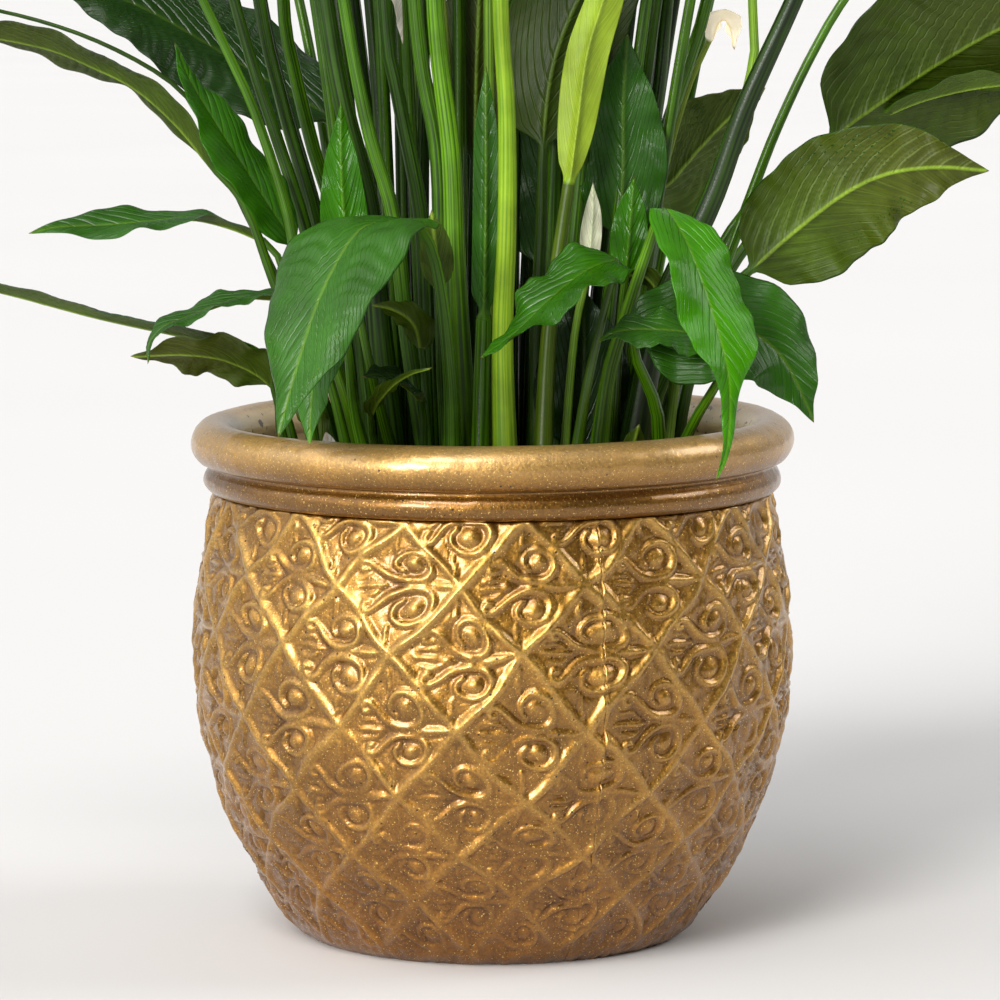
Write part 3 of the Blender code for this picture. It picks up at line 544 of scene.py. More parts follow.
def compost_filling():
    """The filling: the pot's inside shape, with a top of lumps up to 2 mm high."""
    around = 240
    side = np.array(INSIDE_RADII)
    top = np.stack([np.linspace(125, 1.5, 84), np.full(84, COMPOST_TOP - LUMP_DROP)], axis=1)
    profile = np.vstack([side, top])
    turn = np.linspace(0, TURN, around, endpoint=False)[None, :]
    radius, height = profile[:, :1] + 0 * turn, profile[:, 1:] + 0 * turn
    points = spun(radius, height, turn)
    x, y = points[..., 0], points[..., 1]
    lumps = sum(np.sin(x * kx + y * ky + shift) for kx, ky, shift in
                np.random.default_rng(21).normal(0, 0.9, (22, 3))) / math.sqrt(22)
    flat = np.arange(len(profile))[:, None] >= len(side)
    points[..., 2] += np.where(flat, 0.75 * np.clip(lumps, -1.6, 1.6), 0)
    points = np.vstack([points.reshape(-1, 3),
                        [(0, 0, INSIDE_RADII[0][1]), (0, 0, COMPOST_TOP - LUMP_DROP)]])
    return add_piece("compost_filling", points, tube_faces(len(profile), around), COMPOST,
                     ["compost"])


def crown_dome():
    """The root stock: an oval dome with rounded knobs where old stalks stood."""
    around = 200
    share = np.concatenate([[0.99, 1.0], np.linspace(0.99, 0.02, 60)])[:, None]
    turn = np.linspace(0, TURN, around, endpoint=False)[None, :]
    x, y = CROWN_HALF_X * share * np.sin(turn), -CROWN_HALF_Y * share * np.cos(turn)
    knobs = sum(np.abs(np.sin(x * kx + y * ky + shift)) for kx, ky, shift in
                np.random.default_rng(22).normal(0, 0.28, (12, 3))) / 12
    z = crown_height(x, y) - KNOB_DROP + 2.4 * (knobs - 0.5) * smoothstep(1.0, 0.9, share)
    z[:1] = COMPOST_TOP + 0.2
    points = np.vstack([np.stack([x, y, z], axis=-1).reshape(-1, 3),
                        [(0, 0, COMPOST_TOP + 0.2), (0, 0, crown_height(0, 0) - KNOB_DROP)]])
    return add_piece("crown_of_root_stock", points, tube_faces(len(share), around), ROOT_STOCK,
                     ["crown"])


for made in (compost_filling(), crown_dome()):
    print(made.name, len(made.data.vertices), "points")

# %% [markdown]
# ## What a peace lily's leaf looks like
# The upper side is dark, waxy and glossy. Side veins leave the midrib every few millimetres,
# curve towards the tip, and are pressed into the blade, so that it looks quilted. The underside
# is duller and more olive, with a raised, paler midrib. A blade is thin enough to let some
# yellow-green light through. The stalk is smooth and fleshy, with fine lengthwise ribs.
# The leaf carries its own map: one direction is millimetres from the midrib, and the other
# counts along the side veins, so one stripe pattern draws every vein where it belongs.

# %% The leaf's recipe
VEIN_MM = 11.0
FINE_VEIN_MM = 1.7
MAP_MM = 1000.0


def leaf_material(name, upper, under, rib, stalk, stalk_dark, through=0.16, gloss=0.25,
                  pressed=0.6):
    """A waxy leaf: two sides, pressed veins, pale midrib, ribbed stalk and light through it."""
    material, tree, surface = new_material(name)

    def calculate(operation, *values):
        """One arithmetic step on sockets and numbers."""
        return add_node(tree, "ShaderNodeMath",
                        {"operation": operation, **dict(enumerate(values))}).outputs[0]

    is_upper, is_blade, tone, aged, dry = (
        add_node(tree, "ShaderNodeAttribute", {"attribute_name": field}).outputs["Fac"]
        for field in ("upper", "blade", "tone", "aged", "dry"))
    place = add_node(tree, "ShaderNodeTexCoord").outputs
    leaf_map = add_node(tree, "ShaderNodeSeparateXYZ", {"Vector": place["UV"]}).outputs
    combed, stretched = (
        add_node(tree, "ShaderNodeMapping", {"Scale": scale, "Vector": place["UV"]}).outputs[0]
        for scale in ((0.1, 1.0, 1.0), (1.0, 0.012, 1.0)))
    drift, blotch, cells, streak, ribs = (
        add_node(tree, "ShaderNodeTexNoise",
                 {"Scale": scale, "Detail": detail, "Vector": where}).outputs["Fac"]
        for where, scale, detail in ((place["Object"], 60.0, 1.0), (place["Object"], 45.0, 5.0),
                                     (place["Object"], 900.0, 2.0), (combed, 700.0, 3.0),
                                     (stretched, 900.0, 2.0)))
    across = calculate("ABSOLUTE", leaf_map["X"])
    vein_run = calculate("ADD", leaf_map["Y"], calculate("MULTIPLY", drift, 3.0 / MAP_MM))
    vein, fine = (
        calculate("PINGPONG", calculate("MULTIPLY", run, MAP_MM / spacing), 0.5)
        for run, spacing in ((vein_run, VEIN_MM), (leaf_map["Y"], FINE_VEIN_MM)))
    # Each row turns a range of one value into a range of another.
    vein_line, rib_line, vein_share, rib_share, stalk_share, shade, streaked, rough = (
        add_node(tree, "ShaderNodeMapRange",
                 {"From Min": low, "From Max": high, "To Min": start, "To Max": end,
                  "Value": source}).outputs["Result"]
        for source, low, high, start, end in (
            (vein, 0.0, 0.13, 1.0, 0.0), (across, 0.4 / MAP_MM, 1.3 / MAP_MM, 1.0, 0.0),
            (is_upper, 0.0, 1.0, 0.12, 0.025), (is_upper, 0.0, 1.0, 0.9, 0.16),
            (ribs, 0.38, 0.62, 0.0, 1.0), (blotch, 0.3, 0.7, 0.75, 1.22),
            (streak, 0.3, 0.7, -0.2, 0.24), (is_upper, 0.0, 1.0, gloss + 0.22, gloss)))
    combing = calculate("ADD", calculate("MULTIPLY", streaked, is_blade), 1.0)
    light_dark = calculate("MULTIPLY", calculate("MULTIPLY", shade, combing), tone)
    stalk_colour = add_node(tree, "ShaderNodeMix",
                            {"data_type": "RGBA", MIX_FACTOR: stalk_share, MIX_A: stalk_dark,
                             MIX_B: stalk}).outputs[MIX_RESULT]
    off_blade = calculate("SUBTRACT", 1.0, is_blade)
    colour = under
    for blend, share, layer in (("MIX", aged, "#54401C"), ("MIX", is_upper, upper),
                                ("MIX", calculate("MULTIPLY", vein_line, vein_share), rib),
                                ("MIX", calculate("MULTIPLY", rib_line, rib_share), rib),
                                ("MIX", dry, "#7A5A2C"), ("MIX", off_blade, stalk_colour),
                                ("MULTIPLY", 1.0, light_dark)):
        colour = add_node(tree, "ShaderNodeMix",
                          {"data_type": "RGBA", "blend_type": blend, MIX_FACTOR: share,
                           MIX_A: colour, MIX_B: layer}).outputs[MIX_RESULT]
    skin = calculate("ADD", calculate("MULTIPLY", calculate("ADD", fine, streak), is_blade), cells)
    fine_bump = add_node(tree, "ShaderNodeBump", {"Strength": 0.35, "Distance": 0.25 * MM,
                                                  "Height": skin})
    bump = add_node(tree, "ShaderNodeBump",
                    {"Strength": pressed, "Distance": 0.45 * MM, "invert": True,
                     "Height": calculate("MULTIPLY", vein_line, is_blade),
                     "Normal": fine_bump.outputs[0]})
    body = add_node(tree, "ShaderNodeBsdfPrincipled",
                    {"IOR": 1.37, "Base Color": colour, "Roughness": rough,
                     "Normal": bump.outputs[0]})
    glow = add_node(tree, "ShaderNodeBsdfTranslucent", {"Color": colour})
    joined = add_node(tree, "ShaderNodeMixShader",
                      {0: calculate("MULTIPLY", is_blade, through), 1: body.outputs[0],
                       2: glow.outputs[0]})
    tree.links.new(joined.outputs[0], surface)
    return material


LEAF_FINISHES = {
    "dark_leaf": leaf_material("waxy_leaf_dark", "#1E3D0F", "#394709", "#74942A", "#365B08",
                               "#142704"),
    "mid_leaf": leaf_material("waxy_leaf_mid", "#29560F", "#48600C", "#8CAC32", "#4C790A",
                              "#224204"),
    "bright_leaf": leaf_material("waxy_leaf_bright", "#3E8605", "#567310", "#9AC43C", "#629212",
                                 "#2F5606", 0.2, 0.19),
    "lime_leaf": leaf_material("young_leaf_lime", "#94AE2C", "#A4BA3C", "#AEC84A", "#93B420",
                               "#64900F", 0.2, 0.38, 0.15),
    "spathe": leaf_material("spathe_fresh_white", "#EFEDDC", "#E6E8CC", "#D5DDB8", "#7FA42C",
                            "#4C7418", 0.3, 0.42),
    "faded_spathe": leaf_material("spathe_faded", "#F6F1E6", "#F4EFE2", "#DCCBAA", "#7E9434",
                                  "#556824", 0.25, 0.55),
}
print("leaf finishes:", list(LEAF_FINISHES))

# %% [markdown]
# ## Where every leaf grows
# The CAD model gives each leaf a route: its foot on the crown, points up its stalk, and points
# along its midrib to the tip, in millimetres. The finer leaf follows exactly the same route.
# Leaves above the first full circle only need an arch, which leans more and more as it goes.

# %% Routes of the leaves
def arch(start, heading, lean, length, points=5):
    """Points of a blade that leaves `start` and bends from lean[0] to lean[1] off vertical."""
    place = np.array(start, float)
    across = np.array([math.cos(math.radians(heading)), math.sin(math.radians(heading)), 0.0])
    route = [tuple(place)]
    for index in range(points):
        share = (index + 0.5) / points
        angle = math.radians(lean[0] + (lean[1] - lean[0]) * share)
        place = place + length / points * (math.sin(angle) * across + [0, 0, math.cos(angle)])
        route.append(tuple(place))
    return route


def leaf_row(name, surface, crown, stem, blade, width, heading, stalk, roll=(0, 0), fold=10,
             spadix=0, **own):
    """One leaf's facts.

    crown is where the stalk leaves the root stock, stem has points up the stalk, and blade has
    points along the midrib to the tip. heading is where the blade points, in degrees from +X.
    stalk is its radius at the foot and at the blade. roll turns the blade about its midrib, at
    its base and its tip, and fold lifts its two halves. Anything else is the leaf's own look.
    """
    return dict(name=name, surface=surface, crown=crown, stem=stem, blade=blade, width=width,
                heading=heading, stalk=stalk, roll=roll, fold=fold, spadix=spadix, own=own)


LEAVES = [
    # Low leaves that droop over the front of the rim.
    leaf_row("leaf_front_left_drooping", "mid_leaf", (-19, -70), [(-20, -78, 281), (-26, -90, 336)],
             [(-34, -102, 358), (-46, -116, 362), (-63, -135, 358), (-79, -155, 331),
             (-90, -165, 298), (-99, -170, 265)], width=72, heading=232, stalk=(4.5, 2.2),
             sweep=2.0, quilt=1.5, wave=1.5, tone=1.2, arch=0.2),
    leaf_row("leaf_front_left_hanging", "mid_leaf", (-56, -62), [(-66, -76, 266)], [(-70, -98, 308),
             (-76, -112, 317), (-82, -121, 300), (-85, -127, 281), (-86, -131, 257)], width=34,
             heading=240, stalk=(3.5, 1.8), roll=(0, 5), fold=15, tone=2.0, quilt=0.4),
    leaf_row("leaf_front_right_bright", "bright_leaf", (50, -56), [(56, -58, 281), (64, -64, 311),
             (74, -68, 343)], [(82, -76, 364), (90, -95, 356), (100, -110, 332), (109, -120, 302),
             (112, -124, 284), (111, -127, 258), (106, -128, 240)], width=44, heading=300,
             stalk=(4.5, 2.2), roll=(-10, 0), fold=14, wave=2.4, neck=(0.56, 0.74, 0.66),
             tone=0.98),
    leaf_row("leaf_front_centre_crinkled", "bright_leaf", (38, -74), [(46, -80, 281),
             (56, -88, 326)], [(60, -94, 341), (46, -108, 339), (28, -118, 326), (10, -124, 309),
             (-6, -128, 298)], width=54, heading=205, stalk=(3.2, 1.8), roll=(-25, 5), fold=12,
             wave=3.4, quilt=1.5, tone=0.46, broad=0.85),
    leaf_row("leaf_front_right_dark", "mid_leaf", (80, -52), [(80, -66, 266)], [(68, -82, 302),
             (92, -82, 308), (118, -82, 309), (139, -82, 295), (155, -82, 263)], width=68,
             heading=0, stalk=(3.8, 2.2), roll=(62, 55), fold=8, tone=1.1, wave=2.5, broad=0.92),
    leaf_row("leaf_small_rim", "mid_leaf", (67, -62), [(67, -64, 233)], [(67, -66, 239),
             (68, -70, 249), (71, -76, 262)], width=13, heading=280, stalk=(2.2, 1.4), fold=15),
    leaf_row("leaf_small_glossy", "dark_leaf", (-34, -74), [(-33, -80, 258)], [(-34, -84, 274),
             (-43, -90, 283), (-53, -96, 287), (-62, -100, 287)], width=36, heading=205,
             stalk=(2.6, 1.6), roll=(-15, -15), fold=12),
    leaf_row("leaf_small_pointed", "mid_leaf", (-47, -73), [(-55, -86, 248)], [(-58, -94, 268),
             (-50, -112, 282), (-40, -122, 290), (-28, -128, 294)], width=15, heading=320,
             stalk=(2.2, 1.4), fold=14),
    leaf_row("leaf_small_olive", "mid_leaf", (-30, -63), [(-32, -64, 270)], [(-34, -67, 297),
             (-38, -74, 311), (-48, -80, 318), (-58, -84, 320)], width=20, heading=200,
             stalk=(2.6, 1.6), roll=(40, 40), fold=18),
    # Leaves reaching out to the left.
    leaf_row("leaf_left_arching", "mid_leaf", (-74, -14), [(-85, -16, 271), (-107, -20, 325),
             (-121, -22, 364)], [(-135, -24, 381), (-152, -26, 403), (-173, -28, 422),
             (-194, -30, 433), (-220, -31, 443), (-261, -32, 449), (-305, -33, 445),
             (-340, -34, 431)], width=56, heading=180, stalk=(3.6, 2.0), roll=(20, 18), tone=0.85,
             quilt=1.3, wave=2.0, broad=0.82, aged=0.3),
    leaf_row("leaf_left_far", "mid_leaf", (-82, 24), [(-98, 28, 300), (-126, 34, 361),
             (-142, 38, 393), (-158, 40, 420), (-200, 44, 444)], [(-250, 48, 459), (-298, 50, 464),
             (-348, 52, 453), (-392, 54, 422)], width=60, heading=180, stalk=(3.0, 1.7),
             stalk_tone=0.45, thin_stalk=0.62),
    leaf_row("leaf_left_glossy", "bright_leaf", (-60, -42), [(-74, -48, 281), (-89, -50, 321)],
             [(-96, -51, 345), (-115, -52, 376), (-133, -50, 404), (-147, -47, 427),
             (-154, -45, 445)], width=42, heading=180, stalk=(3.6, 2.0), roll=(-30, -30), tone=0.62,
             wave=2.0),
    leaf_row("leaf_left_back", "dark_leaf", (-52, 46), [(-62, 55, 301), (-73, 61, 361)],
             [(-82, 64, 401), (-105, 69, 417), (-143, 73, 440), (-175, 77, 458), (-205, 79, 470),
             (-236, 80, 476)], width=66, heading=180, stalk=(4.2, 2.2), roll=(-50, -50), sweep=1.9,
             quilt=1.8, wave=2.5, tone=1.0),
    leaf_row("leaf_small_upright", "bright_leaf", (-46, -30), [(-58, -50, 281)], [(-66, -56, 321),
             (-71, -58, 353), (-73, -58, 386), (-73, -57, 417)], width=24, heading=270,
             stalk=(3.0, 1.8), fold=12, flip=True, tone=0.66, wave=1.5),
    leaf_row("leaf_left_twisted", "mid_leaf", (-88, 6), [(-95, 7, 281), (-103, 8, 326)],
             [(-114, 10, 345), (-144, 10, 356), (-169, 9, 355), (-192, 8, 353), (-217, 6, 352),
             (-231, 4, 349)], width=32, heading=180, stalk=(3.0, 1.7), roll=(20, -60), fold=12,
             wave=2.0, tone=1.2, quilt=0.8),
    leaf_row("leaf_left_low_curled", "mid_leaf", (-66, -58), [(-78, -68, 280)], [(-90, -76, 317),
             (-112, -80, 324), (-129, -83, 321), (-145, -86, 315), (-157, -89, 310),
             (-164, -90, 302), (-165, -91, 292)], width=34, heading=190, stalk=(3.0, 1.6),
             roll=(0, -15), fold=12),
    leaf_row("leaf_left_low_long", "mid_leaf", (-94, -10), [(-104, -12, 266)], [(-116, -16, 292),
             (-145, -18, 299), (-194, -24, 310), (-243, -28, 323), (-290, -32, 332),
             (-330, -34, 332)], width=42, heading=180, stalk=(3.0, 1.6), roll=(10, 10), fold=12,
             wave=1.2, tone=1.0),
    leaf_row("leaf_left_low_olive", "mid_leaf", (-96, -26), [(-104, -28, 252)], [(-108, -31, 276),
             (-128, -36, 289), (-150, -42, 293), (-177, -45, 292)], width=48, heading=180,
             stalk=(3.0, 1.6), roll=(35, 30), fold=8, quilt=1.2, aged=0.35),
    leaf_row("leaf_left_short", "mid_leaf", (-78, -43), [(-81, -44, 236)], [(-84, -44, 248),
             (-90, -44, 268), (-97, -43, 288)], width=18, heading=240, stalk=(3.0, 1.8), fold=12),
    # Leaves in the middle of the clump.
    leaf_row("leaf_centre_flat_sheath", "mid_leaf", (-6, -66), [(-5, -64, 281)], [(-4, -63, 311),
             (-3, -62, 371), (-3, -61, 411), (-3, -60, 434)], width=13, heading=270,
             stalk=(4.4, 4.0), fold=5, flip=True, strap=1.0, tone=1.05, wave=0.5, quilt=0.0),
    leaf_row("leaf_centre_unrolling", "lime_leaf", (24, -66), [(26, -62, 281), (29, -60, 319)],
             [(37, -56, 376), (41, -54, 405), (46, -52, 439), (55, -50, 469), (63, -48, 501),
             (70, -46, 531)], width=24, heading=270, stalk=(4.6, 3.0), roll=(10, -20), fold=30,
             flip=True, wave=1.6, quilt=0.0, stalk_tone=0.26),
    leaf_row("leaf_centre_underside", "dark_leaf", (22, -24), [(22, -21, 301), (24, -18, 351)],
             [(25, -16, 392), (28, -14, 423), (34, -12, 446), (46, -10, 473), (62, -10, 506),
             (85, -10, 543)], width=60, heading=270, stalk=(4.4, 2.4), fold=8, quilt=0.3, tone=0.3,
             finish="bright_leaf"),
    leaf_row("leaf_centre_upright", "mid_leaf", (50, -22), [(57, -25, 301)], [(62, -27, 349),
             (64, -28, 381), (64, -28, 413), (66, -28, 449)], width=24, heading=270,
             stalk=(3.4, 2.0), flip=True, broad=1.85, tone=1.0, wave=2.5),
    leaf_row("leaf_centre_low_dark", "dark_leaf", (40, -38), [(41, -38, 235)], [(42, -38, 245),
             (44, -38, 271), (45, -38, 299), (44, -36, 326)], width=28, heading=270,
             stalk=(3.0, 2.0), flip=True, broad=1.75, tone=0.75),
    # Leaves reaching out to the right.
    leaf_row("leaf_right_underside", "mid_leaf", (74, -8), [(82, -12, 271), (104, -16, 310)],
             [(127, -18, 332), (147, -18, 350), (173, -18, 370), (195, -17, 380), (220, -16, 383),
             (245, -15, 381)], width=70, heading=0, stalk=(4.2, 2.2), roll=(-84, -80), fold=6,
             sweep=1.0, broad=0.92, wave=4.5, quilt=2.2, tone=1.0, aged=0.35),
    leaf_row("leaf_right_upper", "mid_leaf", (80, 26), [(92, 30, 271), (118, 35, 326),
             (150, 39, 369)], [(170, 42, 394), (200, 46, 416), (224, 49, 432), (256, 52, 450),
             (294, 56, 465), (333, 58, 473)], width=94, heading=5, stalk=(4.2, 2.2),
             roll=(-75, -65), sweep=1.1, wave=3.5, quilt=2.1, tone=0.82, aged=0.25),
    leaf_row("leaf_right_back_veined", "mid_leaf", (50, 54), [(60, 60, 291)], [(79, 72, 357),
             (92, 76, 373), (106, 80, 389), (122, 82, 405), (140, 84, 419)], width=62, heading=10,
             stalk=(4.0, 2.2), roll=(-60, -60), quilt=2.2, tone=1.5, aged=0.15),
    # Tall leaves of the canopy, from the left round the front to the right.
    leaf_row("leaf_canopy_left_thin", "mid_leaf", (-84, -58), [(-92, -64, 296), (-97, -68, 355),
             (-113, -70, 409), (-126, -72, 439), (-141, -74, 471)],
             arch((-168, -82, 529), 205, (35, 100), 200), width=72, heading=205, stalk=(3.2, 2.0)),
    leaf_row("leaf_canopy_left", "dark_leaf", (-68, -28), [(-80, -25, 301), (-92, -26, 355),
             (-106, -28, 400), (-116, -30, 431), (-127, -32, 471)],
             arch((-155, -40, 581), 182, (25, 100), 220), width=84, heading=182, stalk=(4.2, 2.4)),
    leaf_row("leaf_canopy_left_back", "dark_leaf", (-66, -2), [(-78, -8, 301), (-87, -9, 356),
             (-103, -11, 415), (-115, -13, 471)], arch((-138, -10, 631), 160, (15, 95), 235),
             width=92, heading=160, stalk=(5.2, 2.6)),
    leaf_row("leaf_canopy_back_left", "mid_leaf", (-58, 14), [(-72, 8, 301), (-80, 7, 361),
             (-89, 7, 391), (-100, 8, 438), (-104, 9, 471)],
             arch((-114, 30, 671), 130, (12, 95), 215), width=84, heading=130, stalk=(4.2, 2.4)),
    leaf_row("leaf_canopy_front_left_broad", "dark_leaf", (-48, -14), [(-55, -24, 301),
             (-60, -29, 362), (-73, -34, 416), (-82, -38, 471)],
             arch((-106, -52, 651), 222, (18, 100), 240), width=98, heading=222, stalk=(6.4, 3.0)),
    leaf_row("leaf_canopy_front_left", "mid_leaf", (-30, -52), [(-41, -56, 301), (-48, -58, 361),
             (-60, -60, 404), (-71, -62, 463)], arch((-86, -74, 571), 242, (22, 100), 195),
             width=78, heading=242, stalk=(4.4, 2.4)),
    leaf_row("leaf_canopy_left_top", "dark_leaf", (-30, -6), [(-32, -12, 301), (-35, -14, 359),
             (-46, -16, 418), (-53, -18, 471)], arch((-66, -16, 731), 186, (10, 85), 225), width=90,
             heading=186, stalk=(4.6, 2.6)),
    leaf_row("leaf_canopy_front_top", "mid_leaf", (-20, -34), [(-22, -35, 301), (-25, -36, 337),
             (-27, -38, 392), (-38, -41, 471)], arch((-48, -56, 711), 256, (12, 90), 205), width=84,
             heading=256, stalk=(4.6, 2.6)),
    leaf_row("leaf_canopy_front", "bright_leaf", (-12, -50), [(-15, -52, 281), (-18, -53, 337),
             (-20, -54, 392), (-28, -57, 471)], arch((-30, -74, 631), 272, (20, 100), 205),
             width=86, heading=272, stalk=(6.0, 3.0)),
    leaf_row("leaf_canopy_lime_stalk", "lime_leaf", (7, -78), [(5, -76, 301), (7, -75, 355),
             (7, -74, 411), (4, -74, 469)], arch((6, -84, 571), 295, (25, 100), 200), width=84,
             heading=295, stalk=(5.6, 3.0), stalk_tone=0.82),
    leaf_row("leaf_canopy_front_right", "dark_leaf", (66, -38), [(71, -42, 261), (82, -45, 314),
             (107, -48, 370), (123, -50, 415), (148, -53, 471)],
             arch((190, -64, 571), 336, (30, 105), 225), width=94, heading=336, stalk=(7.4, 3.2),
             stalk_tone=0.5),
    leaf_row("leaf_canopy_right", "mid_leaf", (60, 8), [(66, -2, 311), (79, -4, 379), (99, -5, 442),
             (107, -5, 471)], arch((142, 0, 621), 2, (20, 105), 215), width=86, heading=2,
             stalk=(4.6, 2.4)),
    leaf_row("leaf_canopy_right_low", "mid_leaf", (90, 8), [(97, 9, 271), (112, 10, 321),
             (130, 11, 371), (142, 12, 402), (159, 13, 438), (179, 14, 471)],
             arch((226, 16, 531), 10, (45, 110), 195), width=76, heading=10, stalk=(3.4, 2.0)),
    leaf_row("leaf_canopy_right_back", "dark_leaf", (44, 22), [(57, 20, 317), (74, 20, 377),
             (82, 21, 421), (87, 22, 471)], arch((108, 44, 651), 32, (15, 98), 230), width=94,
             heading=32, stalk=(5.8, 2.8)),
    # Leaves at the back of the canopy.
    leaf_row("leaf_back_left", "mid_leaf", (-62, 60), [(-86, 94, 391), (-104, 110, 481)],
             arch((-118, 122, 531), 145, (35, 105), 195), width=76, heading=145, stalk=(3.8, 2.2)),
    leaf_row("leaf_back_centre_left", "mid_leaf", (-30, 62), [(-40, 86, 401), (-46, 106, 481)],
             arch((-52, 122, 551), 112, (32, 100), 195), width=78, heading=112, stalk=(4.2, 2.2)),
    leaf_row("leaf_back_centre", "dark_leaf", (6, 70), [(12, 92, 381), (18, 110, 461)],
             arch((22, 122, 511), 84, (35, 110), 200), width=80, heading=84, stalk=(4.2, 2.2)),
    leaf_row("leaf_back_centre_right", "mid_leaf", (36, 74), [(54, 100, 401), (66, 118, 481)],
             arch((76, 132, 551), 58, (30, 100), 190), width=78, heading=58, stalk=(4.2, 2.2)),
    leaf_row("leaf_back_right", "mid_leaf", (66, 60), [(92, 106, 360), (112, 124, 460)],
             arch((130, 134, 525), 36, (38, 108), 190), width=76, heading=36, stalk=(3.8, 2.2)),
    # Leaves at the top of the canopy.
    leaf_row("leaf_top_right", "mid_leaf", (26, 2), [(30, 4, 361), (36, 6, 471)],
             arch((52, 0, 701), 330, (10, 85), 210), width=84, heading=330, stalk=(4.6, 2.6)),
    leaf_row("leaf_top_back", "dark_leaf", (2, 26), [(4, 36, 361), (6, 44, 471)],
             arch((10, 66, 721), 75, (8, 85), 215), width=86, heading=75, stalk=(4.6, 2.6)),
]

print("leaves:", len(LEAVES))

# %% Routes of the flowers
# Each flower is a stalk that carries a hooded spathe, written as a leaf is, with the length of
# the spadix in front of it. A spathe that has dried up or not opened yet shows none.
FLOWERS = [
    leaf_row("flower_tall_front", "spathe", (0, -16), [(-2, -20, 481), (-4, -26, 721)],
             arch((-5, -30, 781), 260, (5, 40), 105), width=62, heading=260, stalk=(3.0, 2.0),
             fold=22, spadix=46),
    leaf_row("flower_tall_right", "spathe", (84, -24), [(96, -22, 321), (113, -22, 381),
             (127, -22, 431), (127, -22, 471)], arch((118, -28, 681), 325, (5, 35), 95), width=56,
             heading=325, stalk=(2.8, 1.8), fold=22, spadix=42),
    leaf_row("flower_tall_back", "spathe", (-34, 34), [(-38, 48, 481), (-40, 66, 701)],
             arch((-40, 72, 761), 130, (8, 40), 100), width=58, heading=130, stalk=(2.8, 1.8),
             fold=22, spadix=42),
    leaf_row("flower_bud_low", "spathe", (34, -52), [(40, -46, 301)], [(47, -43, 335),
             (48, -43, 349), (49, -43, 363), (49, -43, 377)], width=13, heading=270,
             stalk=(2.2, 1.8), fold=35, quilt=0.0, tone=1.1),
    leaf_row("flower_faded_right", "faded_spathe", (30, 42), [(66, 48, 321), (84, 50, 369),
             (93, 50, 401), (100, 50, 423)], [(109, 50, 443), (113, 50, 453), (118, 50, 455),
             (121, 49, 449), (122, 48, 439)], width=20, heading=0, stalk=(2.2, 1.5),
             roll=(-20, -20), fold=15, tone=1.5, broad=1.3, quilt=0.0),
    leaf_row("flower_faded_left", "faded_spathe", (-14, 12), [(-20, 6, 381), (-26, 4, 481),
             (-34, 4, 507)], [(-42, 4, 501), (-46, 3, 481), (-45, 2, 461), (-44, 1, 441)], width=14,
             heading=200, stalk=(2.2, 1.6), roll=(20, 60), fold=30, quilt=0.0),
]

print("flowers:", len(FLOWERS))

# %% [markdown]
# ## One leaf as a flattened tube
# Every ring of the tube has the same points. On the stalk they lie on a circle. On the blade
# the circle is pressed into a thin section: halves lifted by a fold, arched like a roof tile,
# waved along the margin, and puffed between the side veins. Close to the midrib and to the
# margin the points stand closer together, because that is where the section turns most.

# %% The leaf's cross-section and outline
HALF_ACROSS = np.array([1.0, 0.96, 0.91, 0.86, 0.80, 0.74, 0.68, 0.61, 0.54, 0.47, 0.40, 0.33,
                        0.26, 0.20, 0.14, 0.09, 0.045])
ACROSS = np.concatenate([HALF_ACROSS, [0.0], -HALF_ACROSS[::-1], -HALF_ACROSS[1:], [0.0],
                         HALF_ACROSS[:0:-1]])
ABOVE = np.where(np.arange(len(ACROSS)) <= 2 * len(HALF_ACROSS), 1.0, -1.0)
ROUND = np.sqrt(1 - ACROSS ** 2) * ABOVE
STALK_STEP, BLADE_STEP = 11.0, 2.0
SKIN = 0.42

# A leaf's look, where its row does not say otherwise: how bright it is, its margin's waves in
# mm, how far it arches, its quilting in mm, how thin its tip is drawn, where it narrows, whether
# its underside faces up, its stalk's brightness and thinness, how broad it is, how straight its
# sides are, how brown its underside, how far its veins sweep, and the finish it borrows.
DEFAULTS = {"tone": 1.0, "wave": 1.8, "arch": 0.12, "quilt": 0.8, "drip": 0.3,
            "neck": (0.7, 0.9, 0.0), "flip": False, "stalk_tone": 1.0, "thin_stalk": 1.0,
            "broad": 1.0, "strap": 0.0, "aged": 0.0, "sweep": 1.5, "finish": None}
WIDEST, OUTLINE_POWER = 0.36, 0.95
STEPS_PER_SPAN = 24


def blade_outline(share):
    """Half-width of a blade as a share of its widest, from its base (0) to its tip (1)."""
    rise = (share / WIDEST) ** (WIDEST * OUTLINE_POWER / (1 - WIDEST))
    return rise * ((1 - share) / (1 - WIDEST)) ** OUTLINE_POWER


